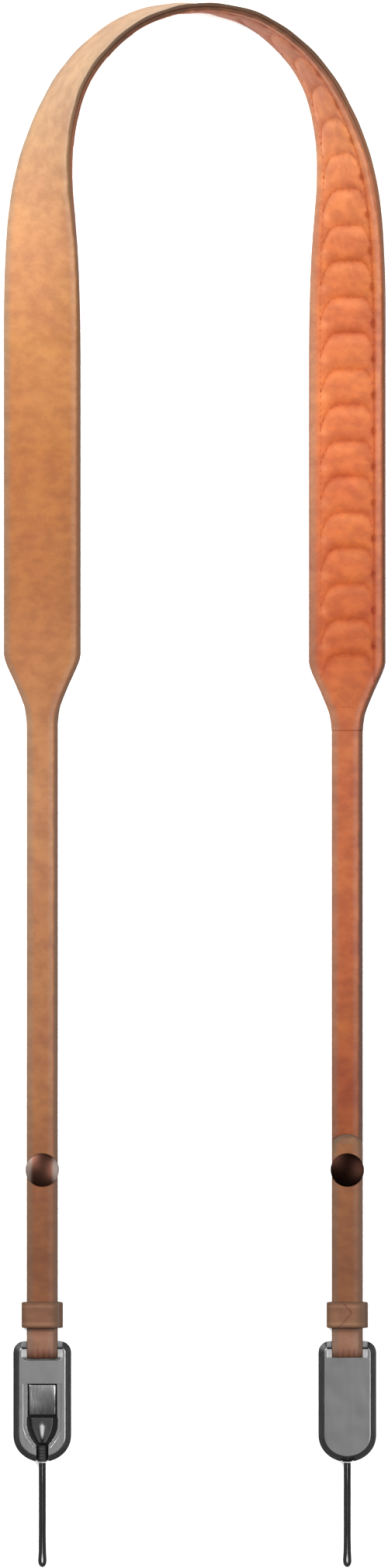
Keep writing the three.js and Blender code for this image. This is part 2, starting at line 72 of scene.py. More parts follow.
class Side(Enum):
    """One leg of the strap."""

    LEFT = "left"
    RIGHT = "right"

    @property
    def sign(self) -> int:
        """-1 for the left leg and 1 for the right."""
        return -1 if self is Side.LEFT else 1

    @property
    def turned_over(self) -> bool:
        """Whether this leg shows the strap's inner side."""
        return self is Side.RIGHT


# Driving dimensions of the strap, as in the part's source


@dataclass(frozen=True)
class ArchRow:
    """Place of the band's inner face on the right half of the arch, and its turn in degrees."""

    across: float
    up: float
    twist: float


@dataclass(frozen=True)
class TaperRow:
    """Share of the pad's extra width left, measured down the leg from the pad's end."""

    down: float
    share: float


@dataclass(frozen=True)
class LiftRow:
    """Height of the band's inner face over the floor along each flat leg."""

    up: float
    left: float
    right: float


ARCH = (
    ArchRow(0, 280, 0),
    ArchRow(11.8, 278.5, 4.6),
    ArchRow(22.7, 274.5, 9.2),
    ArchRow(32.2, 267.7, 13.4),
    ArchRow(39.6, 260, 17),
    ArchRow(45.4, 250.9, 21.8),
    ArchRow(49.7, 240, 28.6),
    ArchRow(52.8, 228, 37.6),
    ArchRow(54.5, 215.5, 48),
    ArchRow(55, 203.5, 58.5),
    ArchRow(55, 191.5, 68),
    ArchRow(55, 179, 77),
    ArchRow(55, 166, 85),
    ArchRow(55, 152, 90),
    ArchRow(55, 138, 90),
)
TAPER = (
    TaperRow(-1.2, 1),
    TaperRow(0.9, 0.955),
    TaperRow(3.6, 0.83),
    TaperRow(9.2, 0.515),
    TaperRow(14.8, 0.23),
    TaperRow(17.6, 0.105),
    TaperRow(20.4, 0.045),
    TaperRow(24, 0),
)
LEATHER = 1.6
ARCH_THINNER = 0.9
LIFT = (
    LiftRow(-118, 3.4, 3.1),
    LiftRow(-78, 0.15, LEATHER),
    LiftRow(-8, 0.15, LEATHER),
    LiftRow(26, 1.4, LEATHER),
    LiftRow(48, 2.5, LEATHER),
    LiftRow(152, 2.5, LEATHER),
)
FLAT_UP = 152.0
LEAN_FROM = 215.0
LEAN = 2.7
NARROW_WIDTH = 11.2
PAD_WIDTH = 27.7
PAD_END_UP = {Side.LEFT: 45.5, Side.RIGHT: 42.8}
TAIL_TIP_UP = -126.3
TAIL_ROUND = 4.0
BUCKLE_TOP_UP = -200.9
BUCKLE_LENGTH = 43.6
BUCKLE_THICKNESS = 6.0
KEEPER_UP = -191.5
KEEPER_LENGTH = 9.3
BAR_DEPTH = 3.0
BAR_RADIUS = 1.0
FOLD_SLACK = 1.6
GAP = 0.3
ROUNDING = 0.05
SLOT_HALF, SLOT_FOOT = 7.6, 8.0
POCKET_HALF, POCKET_FOOT = 7.8, 3.6
MOUTH_HALF, MOUTH_HEAD = 2.6, 8.0
RIM_SHADE = {Side.LEFT: 0.35, Side.RIGHT: 0.0}
PLATE_SHADE = {Side.LEFT: 0.0, Side.RIGHT: 0.27}
LEG_X = 55.0
MIDDLE_UP = (ARCH[0].up + LEATHER + BUCKLE_TOP_UP - BUCKLE_LENGTH) / 2
BAR_MIDDLE = BUCKLE_THICKNESS / 2
FOLD_RADIUS = BAR_RADIUS + GAP
FOLD_UP = BUCKLE_TOP_UP - BAR_DEPTH + BAR_RADIUS - FOLD_SLACK
PART_UP = KEEPER_UP - KEEPER_LENGTH / 2 - 0.2
SPREAD_UP = BUCKLE_TOP_UP + 0.2
LOWER_LAYER = (BAR_MIDDLE - FOLD_RADIUS, 3.1)
UPPER_LAYER = (BAR_MIDDLE + FOLD_RADIUS, 3.4)

PUFFS = 41
LINING_BORDER = 1.3
LINING_CROWN = 0.9
LINING_MARGIN = 4.2
LINING_GAP = 0.03
LINING_END = 0.08
LINING_INSET = 0.12
LINING_ROLL = 0.75
LINING_STEP = 0.55
LINING_COLUMNS = 58
ECHO_DEPTH = 0.11
GROOVE_BOW = 0.63
GROOVE_AHEAD = 0.25

CORD_DIAMETER = 1.25
CORD_SPREAD = 0.65
CORD_EYE = 0.88
CORD_REST = CORD_DIAMETER / 2 + 0.1
CORD_ROUTE = (
    (CORD_SPREAD, 0, BAR_MIDDLE),
    (CORD_SPREAD, 2.4, BAR_MIDDLE),
    (CORD_SPREAD, 5.6, 2.15),
    (CORD_SPREAD, 9, 1.05),
    (CORD_SPREAD, 12.5, CORD_REST),
    (CORD_SPREAD, 19, CORD_REST),
    (CORD_SPREAD, 26, CORD_REST),
    (CORD_SPREAD + 0.08, 32, CORD_REST),
    (CORD_EYE, 35.3, CORD_REST),
    (CORD_EYE * 0.72, 36.6, CORD_REST),
    (0, 37.1, CORD_REST),
)
CORD_STEP = 0.16
CORD_CORNERS = 20
BRAID_TURN = 1.5

FLAT_WITHIN = math.radians(0.6)
SHARP_BEYOND = math.radians(24)
TAB_FALL = 0.85
TAB_CROWN = 0.35
TAB_DISH = 0.22
ANCHOR_RISE = 0.74
DROP_HALF = 1.5
DROP_RISE = 0.24
ANCHOR_OUTLINE = ((0.0, 4.3), (0.37, 4.1), (0.63, 3.3), (0.84, 2.3), (1.0, 1.5))
CAP_RISE = 1.1
# Strength of the painted reflection on each snap's sides.
CAP_REFLECTION_PAINT = {Side.LEFT: 0.7, Side.RIGHT: 0.0}
CAP_PROFILE = (
    (0, 1.0),
    (0.2, 0.97),
    (0.4, 0.88),
    (0.6, 0.73),
    (0.8, 0.5),
    (0.93, 0.3),
    (1.0, 0.15),
    (0.985, 0),
)

MM_PER_PIXEL = 0.28
FRAME_WIDE, FRAME_TALL = 500, 2020
MIDDLE_PIXEL_X, MIDDLE_PIXEL_Y = 251.0, 943.4
FLOOR_REACH = 4.0


# Numbers along tables and curves


def eased(at: np.ndarray, places: Sequence[float], values: Sequence[float]) -> np.ndarray:
    """Reads a table with a smooth step from row to row.

    Args:
        at: where to read it.
        places: the rows' places, rising.
        values: the rows' values.

    Returns:
        The value at each place.
    """
    places, values = np.asarray(places, float), np.asarray(values, float)
    row = np.clip(np.searchsorted(places, at) - 1, 0, len(places) - 2)
    share = np.clip((at - places[row]) / (places[row + 1] - places[row]), 0, 1)
    share = share * share * (3 - 2 * share)
    return values[row] + (values[row + 1] - values[row]) * share


def smooth(low: float, high: float, at: np.ndarray) -> np.ndarray:
    """Smooth step from 0 at low to 1 at high."""
    share = np.clip((at - low) / (high - low), 0, 1)
    return share * share * (3 - 2 * share)


def catmull_rom(points: np.ndarray, per_span: int) -> np.ndarray:
    """Smooth curve through points.

    Args:
        points: rows of coordinates.
        per_span: samples from one point to the next.

    Returns:
        The samples, both end points included.
    """
    ends = np.vstack([2 * points[0] - points[1], points, 2 * points[-1] - points[-2]])
    t = np.linspace(0, 1, per_span, endpoint=False)[:, None]
    spans = []
    for a, b, c, d in zip(ends, ends[1:], ends[2:], ends[3:]):
        leave, arrive = (c - a) / 2, (d - b) / 2
        cubic = 2 * b - 2 * c + leave + arrive
        square = 3 * c - 3 * b - 2 * leave - arrive
        spans.append(cubic * t**3 + square * t**2 + leave * t + b)
    return np.vstack([*spans, points[-1:]])


def unit(vectors: np.ndarray) -> np.ndarray:
    """Vectors scaled to a length of 1."""
    return vectors / np.linalg.norm(vectors, axis=-1, keepdims=True)


def bell(at: np.ndarray, middle: float, width: float) -> np.ndarray:
    """Bell curve of height 1 round a middle."""
    return np.exp(-(((at - middle) / width) ** 2))


def to_end(share: np.ndarray) -> np.ndarray:
    """Distance of a share from the nearer of 0 and 1."""
    return np.minimum(share, 1 - share)


def circle(count: int) -> np.ndarray:
    """Angles of evenly spaced points round a circle."""
    return np.linspace(0, 2 * np.pi, count, endpoint=False)


def box_of(node: str) -> tuple[np.ndarray, np.ndarray]:
    """Lowest and highest corner of a CAD node, in millimetres."""
    low, high = (np.array(corner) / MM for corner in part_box(node))
    return low, high


@dataclass(frozen=True)
class Frames:
    """Places along the band, with its directions there. Lengths are in millimetres.

    Attributes:
        origin: points on the middle of the band's inner face.
        across: unit vectors over its width.
        out: unit vectors out of its grain side.
        half: half of its width.
        way: distance from the left fold, negative on the left tail.
    """

    origin: np.ndarray
    across: np.ndarray
    out: np.ndarray
    half: np.ndarray
    way: np.ndarray

    def point(self, across: np.ndarray, out: np.ndarray) -> np.ndarray:
        """Points at offsets from the middle line, one row of offsets for each place."""
        width = self.across[:, None, :] * across[..., None]
        depth = self.out[:, None, :] * out[..., None]
        return self.origin[:, None, :] + width + depth

    def joined(self, *others: "Frames") -> "Frames":
        """These places followed by the others."""
        rows = (self, *others)
        return Frames(*(np.concatenate([getattr(r, name) for r in rows]) for name in FRAME_COLUMNS))

    def reversed(self) -> "Frames":
        """The same places from the last to the first."""
        return Frames(*(getattr(self, name)[::-1] for name in FRAME_COLUMNS))


FRAME_COLUMNS = ("origin", "across", "out", "half", "way")


def half_width(side: Side, up: np.ndarray) -> np.ndarray:
    """Half width of the band at heights on one leg."""
    down = PAD_END_UP[side] - up
    share = np.interp(down, [row.down for row in TAPER], [row.share for row in TAPER])
    return (NARROW_WIDTH + (PAD_WIDTH - NARROW_WIDTH) * share) / 2


def fold_height(layer: tuple[float, float], up: np.ndarray) -> np.ndarray:
    """Height of a folded end's layer, between the bar and the keeper."""
    return eased(up, (SPREAD_UP, PART_UP), layer)


def leg_height(side: Side, up: np.ndarray) -> np.ndarray:
    """Height of the main layer's inner face on a flat leg."""
    layer = UPPER_LAYER if side is Side.LEFT else LOWER_LAYER
    lift = eased(up, [row.up for row in LIFT], [getattr(row, side.value) for row in LIFT])
    return np.where(up > KEEPER_UP, lift, fold_height(layer, up))


class MiddleLine:
    """Middle of the band's inner face, from the left fold over the arch to the right fold."""

    def __init__(self) -> None:
        right = [(row.across, row.up, -row.twist) for row in ARCH]
        left = [(-row.across, row.up, row.twist) for row in ARCH[:0:-1]]
        curve = catmull_rom(np.array(left + right, float), 40)
        ends = curve[[0, -1]].copy()
        ends[:, 1] = FOLD_UP
        self.points = np.vstack([ends[:1], curve, ends[1:]])
        steps = np.linalg.norm(np.diff(self.points[:, :2], axis=0), axis=1)
        self.lengths = np.concatenate([[0], np.cumsum(steps)])
        self.total = float(self.lengths[-1])
        self.heading = unit(np.gradient(self.points[:, :2], self.lengths, axis=0))

    def distance(self, side: Side, up: float) -> float:
        """Distance along the line of a height on one flat leg."""
        return up - FOLD_UP if side is Side.LEFT else self.total - (up - FOLD_UP)

    def frames(self, way: np.ndarray) -> Frames:
        """Places and directions of the band at distances along the line."""
        x, up, twist = (np.interp(way, self.lengths, column) for column in self.points.T)
        ahead_x, ahead_y = (np.interp(way, self.lengths, column) for column in self.heading.T)
        lean = LEAN * smooth(LEAN_FROM, ARCH[0].up, up)
        turn = np.radians(np.clip(twist + lean, -90, 90))
        sin, cos = np.sin(turn), np.cos(turn)
        level = unit(np.stack([-ahead_y, ahead_x, np.zeros_like(way)], axis=1))
        on_left = x < 0
        half = np.where(on_left, half_width(Side.LEFT, up), half_width(Side.RIGHT, up))
        depth = np.where(on_left, LIFT[-1].left, LIFT[-1].right)
        flat = np.where(on_left, leg_height(Side.LEFT, up), leg_height(Side.RIGHT, up))
        standing = PAD_WIDTH / 2 * cos + depth * np.abs(sin)
        height = np.where(up <= FLAT_UP, flat, standing)
        across = level * -sin[:, None]
        across[:, 2] = cos
        out = level * cos[:, None]
        out[:, 2] = sin
        inwards = PAD_WIDTH / 2 * np.sin(np.radians(lean))
        origin = np.stack([x, up - MIDDLE_UP, height], axis=1) - level * inwards[:, None]
        return Frames(origin, across, out, half, way)


def folded_end(side: Side) -> Frames:
    """Places from a tail's tip round the buckle's bar, up to where the main run starts."""
    layer = LOWER_LAYER if side is Side.LEFT else UPPER_LAYER
    face = side.sign
    tip = TAIL_TIP_UP - TAIL_ROUND * (1 - np.cos(np.radians(np.linspace(12, 90, 12))))
    up = np.concatenate([tip, np.arange(tip[-1] - 1.0, FOLD_UP, -1.0)])
    height = fold_height(layer, up)
    share = np.clip((TAIL_TIP_UP - up) / TAIL_ROUND, 0, 1)
    half = NARROW_WIDTH / 2 * np.sqrt(1 - (1 - share) ** 2)
    turn = np.radians(np.linspace(-90, 90, 15)[:-1]) * -face
    out_y, out_z = -np.cos(turn), np.sin(turn)
    up = np.concatenate([up, FOLD_UP + FOLD_RADIUS * out_y])
    height = np.concatenate([height, BAR_MIDDLE + FOLD_RADIUS * out_z])
    half = np.concatenate([half, np.full(len(turn), NARROW_WIDTH / 2)])
    straight = len(up) - len(turn)
    out = np.zeros((len(up), 3))
    out[:straight, 2] = face
    out[straight:, 1], out[straight:, 2] = out_y, out_z
    origin = np.stack([np.full(len(up), side.sign * LEG_X), up - MIDDLE_UP, height], axis=1)
    gaps = np.linalg.norm(np.diff(origin, axis=0), axis=1)
    way = -np.concatenate([np.cumsum(gaps[::-1])[::-1], [0]]) - 0.5
    across = np.tile([1.0, 0.0, 0.0], (len(up), 1))
    return Frames(origin, across, out, half, way)


# Meshes


@dataclass(frozen=True)
class Grid:
    """Rings of points along a path, which become a closed solid or a ring.

    Attributes:
        points: one row of points for each ring, in millimetres.
        values: named numbers for the shader, one for each point.
    """

    points: np.ndarray
    values: Mapping[str, np.ndarray]

    def mesh(self, name: str, ends_meet: bool = False) -> bpy.types.Mesh:
        """Makes the mesh.

        Args:
            name: the mesh's name.
            ends_meet: whether the last ring joins the first, as round a loop.

        Returns:
            A mesh in metres, smooth but for its end faces.
        """
        rings, corners, _ = self.points.shape
        index = np.arange(rings * corners).reshape(rings, corners)
        if ends_meet:
            index = np.vstack([index, index[:1]])
        index = np.hstack([index, index[:, :1]])
        quads = np.stack([index[:-1, 1:], index[:-1, :-1], index[1:, :-1], index[1:, 1:]], axis=-1)
        faces = quads.reshape(-1, 4).tolist()
        sides = len(faces)
        if not ends_meet:
            faces.append(list(range(corners)))
            faces.append(list(range(rings * corners - 1, (rings - 1) * corners - 1, -1)))
        mesh = bpy.data.meshes.new(name)
        mesh.from_pydata((self.points.reshape(-1, 3) * MM).tolist(), [], faces)
        for label, numbers in self.values.items():
            attribute = mesh.attributes.new(label, "FLOAT", "POINT")
            attribute.data.foreach_set("value", np.ravel(numbers).astype(np.float32))
        smooth_faces = np.ones(len(mesh.polygons), bool)
        smooth_faces[sides:] = False
        mesh.polygons.foreach_set("use_smooth", smooth_faces)
        mesh.update()
        return mesh


def add_object(
    name: str, data: bpy.types.ID, material: bpy.types.Material | None = None
) -> bpy.types.Object:
    """Puts data into the scene under a name, with its material."""
    obj = bpy.data.objects.new(name, data)
    bpy.context.scene.collection.objects.link(obj)
    if material is not None:
        obj.data.materials.clear()
        obj.data.materials.append(material)
    return obj


def grid_object(
    name: str, grid: Grid, material: bpy.types.Material, ends_meet: bool = False
) -> bpy.types.Object:
    """An object of a grid's mesh."""
    return add_object(name, grid.mesh(name, ends_meet), material)


def settle(obj: bpy.types.Object) -> bpy.types.Object:
    """Applies the object's modifiers, so that its mesh holds their result."""
    graph = bpy.context.evaluated_depsgraph_get()
    mesh = bpy.data.meshes.new_from_object(obj.evaluated_get(graph), depsgraph=graph)
    obj.modifiers.clear()
    obj.data = mesh
    return obj


def piece(obj: bpy.types.Object, slot: str, *nodes: str, body: str = BODY) -> bpy.types.Object:
    """Makes an object a piece of the part: it rides on a body and stands for CAD nodes."""
    if nodes:
        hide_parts(*nodes)
    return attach(obj, body)


# Shader numbers and materials


class Signal:
    """A shader socket that can be used in sums like a number."""

    def __init__(self, graph: "Graph", socket: bpy.types.NodeSocket) -> None:
        self.graph = graph
        self.socket = socket

    def _math(self, operation: str, *values: Any) -> "Signal":
        return self.graph.node("Math", dict(enumerate(values)), operation=operation)

    def __add__(self, other: Any) -> "Signal":
        return self._math("ADD", self, other)

    def __radd__(self, other: Any) -> "Signal":
        return self._math("ADD", other, self)

    def __sub__(self, other: Any) -> "Signal":
        return self._math("SUBTRACT", self, other)

    def __rsub__(self, other: Any) -> "Signal":
        return self._math("SUBTRACT", other, self)

    def __mul__(self, other: Any) -> "Signal":
        return self._math("MULTIPLY", self, other)

    def __rmul__(self, other: Any) -> "Signal":
        return self._math("MULTIPLY", other, self)

    def ramp(self, low: float, high: float, start: float = 0.0, end: float = 1.0) -> "Signal":
        """Smooth step from start at low to end at high."""
        inputs = {"Value": self, "From Min": low, "From Max": high, "To Min": start, "To Max": end}
        return self.graph.node("MapRange", inputs, "Result", interpolation_type="SMOOTHSTEP")

    def mix(self, low: Any, high: Any) -> "Signal":
        """Colour between two, with this number as the share of the second."""
        inputs = {0: self, 6: low, 7: high}
        return self.graph.node("Mix", inputs, 2, data_type="RGBA", clamp_factor=True)


class Graph:
    """The node tree of one material."""

    def __init__(self, name: str) -> None:
        self.material = bpy.data.materials.new(name)
        self.material.use_nodes = True
        self.tree = self.material.node_tree
        self.tree.nodes.clear()

    def node(
        self,
        kind: str,
        inputs: Mapping[str | int, Any] | None = None,
        output: str | int = 0,
        **settings: Any,
    ) -> Signal:
        """Adds a shader node.

        Args:
            kind: the node's type without its prefix.
            inputs: values or signals for its sockets.
            output: the socket that is wanted.
            settings: its own properties.

        Returns:
            The wanted output.
        """
        made = self.tree.nodes.new(f"ShaderNode{kind}")
        for name, value in settings.items():
            setattr(made, name, value)
        for socket, value in (inputs or {}).items():
            if isinstance(value, Signal):
                self.tree.links.new(value.socket, made.inputs[socket])
            else:
                made.inputs[socket].default_value = value
        return Signal(self, made.outputs[output])

    def value(self, attribute: str) -> Signal:
        """A named number of the mesh."""
        return self.node("Attribute", {}, "Fac", attribute_name=attribute)

    def place(self) -> Signal:
        """Object coordinates, in metres."""
        return self.node("TexCoord", {}, "Object")

    def noise(self, place: Signal, per_metre: float, detail: float = 3.0, rough: float = 0.55) -> Signal:
        """Noise from 0 to 1 around 0.5."""
        inputs = {"Vector": place, "Scale": per_metre, "Detail": detail, "Roughness": rough}
        return self.node("TexNoise", inputs, 0)

    def cells(self, place: Signal, per_metre: float) -> Signal:
        """Distance to the nearest of scattered points, in cells."""
        return self.node("TexVoronoi", {"Vector": place, "Scale": per_metre}, "Distance")

    def stretched(self, place: Signal, x: float, y: float, z: float) -> Signal:
        """Coordinates scaled along each axis."""
        return self.node("Mapping", {"Vector": place, "Scale": (x, y, z)}, 0)

    def table(self, at: Signal, stops: Sequence[tuple[float, "Colour"]]) -> Signal:
        """Colour read from a table of places and colours, over rising places."""
        low, high = stops[0][0], stops[-1][0]
        share = self.node("MapRange", {"Value": at, "From Min": low, "From Max": high}, "Result")
        made = self.tree.nodes.new("ShaderNodeValToRGB")
        ramp = made.color_ramp
        while len(ramp.elements) < len(stops):
            ramp.elements.new(0.5)
        for element, (spot, colour) in zip(ramp.elements, stops):
            element.position = (spot - low) / (high - low)
            element.color = colour.linear
        self.tree.links.new(share.socket, made.inputs[0])
        return Signal(self, made.outputs[0])

    def bump(
        self, height: Signal, distance: float, strength: float, under: Signal | None = None
    ) -> Signal:
        """Normal of a small relief, over another one where given."""
        inputs: dict[str | int, Any] = {"Height": height, "Distance": distance, "Strength": strength}
        if under is not None:
            inputs["Normal"] = under
        return self.node("Bump", inputs, 0)

    def varied(self, colour: Signal | tuple[float, ...], **changes: Signal | float) -> Signal:
        """A colour with its Hue, Saturation or Value changed."""
        return self.node("HueSaturation", {**changes, "Color": colour}, 0)

    def finish(self, inputs: Mapping[str, Any]) -> bpy.types.Material:
        """Ends the tree in a Principled shader with these inputs."""
        shader = self.node("BsdfPrincipled", inputs, 0)
        output = self.tree.nodes.new("ShaderNodeOutputMaterial")
        self.tree.links.new(shader.socket, output.inputs[0])
        return self.material


@dataclass(frozen=True)
class Colour:
    """An sRGB colour, each part from 0 to 255."""

    red: int
    green: int
    blue: int

    @property
    def linear(self) -> tuple[float, float, float, float]:
        """The colour as the shader reads it."""
        parts = (value / 255 for value in (self.red, self.green, self.blue))
        red, green, blue = (v / 12.92 if v < 0.04045 else ((v + 0.055) / 1.055) ** 2.4 for v in parts)
        return (red, green, blue, 1.0)


@dataclass(frozen=True)
class LeatherFinish:
    """How one leather surface looks.

    Attributes:
        tones: colour at places along the legs, in metres from the strap's middle; it holds painted light as
            well as the leather's own colour.
        edge: colour of its dark painted edge, at the same kind of places.
        pale_hue: shader hue of its pale edge, 0.5 for the face's own.
        pale_value: brightness of that edge, beside the face.
        pale_reach: how far it reaches in, in millimetres.
        mottle: strength of the soft patches.
        grain: depth of the pores, in metres.
        roughness: of the face.
    """

    tones: tuple[tuple[float, Colour], ...]
    edge: tuple[tuple[float, Colour], ...]
    pale_hue: float
    pale_value: float
    pale_reach: float
    mottle: float
    grain: float
    roughness: float


# The tone tables hold painted light as well as the leather's own colour: paler towards the arch and darker
# towards the buckles, and lifted on the arch where the lamps leave it in shade.
GRAIN = LeatherFinish(
    tones=(
        (-0.25, Colour(92, 62, 48)),
        (-0.217, Colour(108, 74, 57)),
        (-0.2145, Colour(98, 58, 33)),
        (-0.19, Colour(96, 56, 31)),
        (-0.13, Colour(118, 72, 42)),
        (-0.02, Colour(142, 95, 62)),
        (0.05, Colour(129, 78, 42)),
        (0.10, Colour(137, 83, 43)),
        (0.14, Colour(152, 100, 58)),
        (0.18, Colour(167, 118, 82)),
        (0.235, Colour(165, 131, 100)),
    ),
    edge=(
        (-0.2, Colour(72, 52, 40)),
        (-0.07, Colour(78, 55, 41)),
        (0.09, Colour(84, 53, 33)),
        (0.14, Colour(88, 58, 38)),
        (0.2, Colour(98, 72, 48)),
        (0.25, Colour(58, 40, 26)),
    ),
    pale_hue=0.509,
    pale_value=0.75,
    pale_reach=3.2,
    mottle=0.8,
    grain=0.00007,
    roughness=0.62,
)
INNER = LeatherFinish(
    tones=(
        (-0.20, Colour(88, 42, 22)),
        (-0.13, Colour(113, 52, 22)),
        (-0.07, Colour(135, 68, 35)),
        (0.0, Colour(142, 74, 42)),
        (0.03, Colour(143, 69, 32)),
        (0.10, Colour(161, 82, 44)),
        (0.17, Colour(163, 88, 50)),
        (0.21, Colour(179, 107, 67)),
        (0.24, Colour(163, 96, 64)),
    ),
    edge=(
        (-0.2, Colour(60, 40, 28)),
        (-0.07, Colour(56, 36, 25)),
        (0.09, Colour(86, 48, 29)),
        (0.14, Colour(92, 54, 34)),
        (0.2, Colour(110, 68, 46)),
        (0.25, Colour(58, 38, 26)),
    ),
    pale_hue=0.512,
    pale_value=0.72,
    pale_reach=4.2,
    mottle=0.95,
    grain=0.00004,
    roughness=0.64,
)


# Sizes of the leather's patterns, in cells to the metre
PATCHES = 230
BLOTCHES = 60
SPECKS = 900
UNEVENNESS = 260
PORES = 1500
CREASES = 420


def leather(name: str, face: LeatherFinish, back: LeatherFinish | None = None) -> bpy.types.Material:
    """Leather with pores, soft patches and painted edges.

    The mesh says how far each point is from the dark painted edge ("from_dark") and from the pale
    one ("from_pale"), in millimetres, whether it is on the back ("inner"), how much painted shade
    it gets in seams, grooves, joints and folds and below the keeper ("hollow"), how much painted
    light and shade it gets on its cushions and edges ("worn"), and its grime and painted shadow ("soil").

    Args:
        name: the material's name.
        face: finish of the face.
        back: finish of the back, or None where the piece has no other side.

    Returns:
        The material.
    """
    graph = Graph(name)
    place = graph.place()
    along = graph.node("SeparateXYZ", {0: place}, 1)
    patches = graph.noise(graph.stretched(place, 0.8, 1, 1), PATCHES, 3, 0.55)
    blotches = graph.noise(place, BLOTCHES, 3, 0.55)
    speck = graph.noise(place, SPECKS, 3, 0.6)
    tone = graph.table(along, face.tones)
    edge = graph.table(along, face.edge)
    mottle: Any = face.mottle
    if back is not None:
        inner = graph.value("inner")
        tone = inner.mix(tone, graph.table(along, back.tones))
        edge = inner.mix(edge, graph.table(along, back.edge))
        mottle = inner * (back.mottle - face.mottle) + face.mottle
    shade = patches.ramp(0.3, 0.7, -0.12, 0.12) + (blotches - 0.5) * 0.3 + (speck - 0.5) * 0.2
    # Painted light and shade: paler on lit cushion crests and keeper edges, darker on the cushions' shaded
    # sides, with glints at the grooves' ends.
    worn = graph.value("worn")
    # Painted shade, darkest beside the dark edge and fading out 16 mm in.
    painted_side_shade = graph.value("from_dark").ramp(2.5, 16, 0.1, 0)
    light = shade * mottle + worn * 0.2 + 1.0 - painted_side_shade
    # Painted shade in seams, grooves, joints and folds and below the keeper: darker and redder where
    # "hollow" is high.
    hollow = graph.value("hollow")
    sunk = light * hollow.ramp(0, 1, 1.0, 0.6)
    hue = worn * 0.005 + (blotches - 0.5) * 0.02 + (patches - 0.5) * 0.012 + 0.5
    shaded = graph.varied(tone, Hue=hue, Saturation=1.0 - worn * 0.06, Value=sunk)
    coloured = hollow.mix(shaded, graph.varied(shaded, Hue=0.49, Saturation=1.08))
    uneven = (graph.noise(place, UNEVENNESS, 3) - 0.5) * 0.7
    from_dark = graph.value("from_dark") + uneven
    from_pale = graph.value("from_pale") + uneven
    # A paler, less saturated strip just inside the dark edge: painted sheen on the edge's rounded side.
    margin = from_dark.ramp(1.5, 2.1) * from_dark.ramp(2.6, 4.2, 1, 0) * 0.9
    coloured = margin.mix(coloured, graph.varied(coloured, Hue=0.502, Saturation=0.88))
    pale_edge = graph.varied(coloured, Hue=face.pale_hue, Saturation=0.82, Value=face.pale_value)
    coloured = from_pale.ramp(0.9, face.pale_reach, 0.95, 0).mix(coloured, pale_edge)
    # Grime on the tails' tips, and painted shade below the keeper and on the keeper's ends: darker and more
    # olive where "soil" is high.
    grime_and_shade = graph.varied(coloured, Hue=0.524, Saturation=0.82, Value=0.42)
    coloured = graph.value("soil").mix(coloured, grime_and_shade)
    paint = from_dark.ramp(0.95, 2.1, 0.96, 0)
    pores = graph.cells(graph.stretched(place, 1, 0.8, 1), PORES)
    creases = graph.noise(graph.stretched(place, 1, 2.4, 1), CREASES, 4, 0.6)
    relief = graph.bump(pores * 0.7 + creases * 0.6, face.grain, 0.55)
    swell = graph.bump(patches, 0.0007, 0.35, relief)
    rough = (speck - 0.5) * 0.2 + face.roughness - paint * 0.14
    return graph.finish(
        {
            "Base Color": paint.mix(coloured, edge),
            "Roughness": rough,
            "Normal": swell,
            "Specular IOR Level": 0.16,
        }
    )


@dataclass(frozen=True)
class MetalFinish:
    """How one metal looks.

    Attributes:
        colour: of its reflection.
        roughness: of the plain surface.
        streaks: strength of the fine lines along the strap.
        blast: depth of the bead-blasted texture, in metres.
        shade: how much darker it is where the mesh's "deep" is 1.
        painted_reflection: colour of a painted reflection on its sides, where the mesh's "flank" is 1,
            which is not metallic there.
    """

    colour: Colour
    roughness: float
    streaks: float
    blast: float
    shade: float = 0.0
    painted_reflection: Colour = Colour(94, 82, 74)


BUCKLE_METAL = MetalFinish(Colour(147, 147, 148), 0.22, 0.08, 0.000007, 0.88)
TAB_METAL = MetalFinish(Colour(139, 139, 140), 0.26, 0.3, 0.000005, 0.66)
SNAP_METAL = MetalFinish(Colour(56, 35, 28), 0.32, 0.0, 0.000004, 0.8)


def metal(name: str, look: MetalFinish) -> bpy.types.Material:
    """Grey metal with a blasted surface, fine streaks and faint cloudy patches, darker where the mesh's
    "deep" is high, with a painted reflection where its "flank" is high.
    """
    graph = Graph(name)
    place = graph.place()
    fine = graph.noise(place, 3200, 2, 0.5)
    lines = graph.noise(graph.stretched(place, 1, 0.04, 1), 2600, 2, 0.5)
    cloud = graph.noise(place, 160, 3, 0.5)
    light = (lines - 0.5) * look.streaks + (cloud - 0.5) * 0.06 + 1.0
    light = light * (1.0 - graph.value("deep") * look.shade)
    colour = graph.varied(look.colour.linear, Value=light)
    # Painted reflection where "flank" is 1: a duller, non-metallic grey-brown.
    flank = graph.value("flank")
    rough = (cloud - 0.5) * 0.05 + (lines - 0.5) * look.streaks * 0.5 + look.roughness
    return graph.finish(
        {
            "Base Color": flank.mix(colour, look.painted_reflection.linear),
            "Metallic": 1.0 - flank,
            "Roughness": rough + flank * 0.2,
            "Normal": graph.bump(fine, look.blast, 0.5),
        }
    )


HIGHLIGHT_PAINT = Colour(150, 150, 152)


def dark_plastic(name: str, colour: Colour, roughness: float) -> bpy.types.Material:
    """Dark moulded plastic or rubber, painted light grey as a highlight where the mesh's "polished" is 1.
    """
    graph = Graph(name)
    place = graph.place()
    fine = graph.noise(place, 2400, 2, 0.5)
    cloud = graph.noise(place, 300, 3, 0.5)
    light = (cloud - 0.5) * 0.4 + 1.0
    tone = graph.varied(colour.linear, Value=light)
    return graph.finish(
        {
            "Base Color": graph.value("polished").mix(tone, HIGHLIGHT_PAINT.linear),
            "Roughness": (cloud - 0.5) * 0.2 + roughness,
            "Normal": graph.bump(fine, 0.00002, 0.5),
            "Specular IOR Level": 0.3,
        }
    )


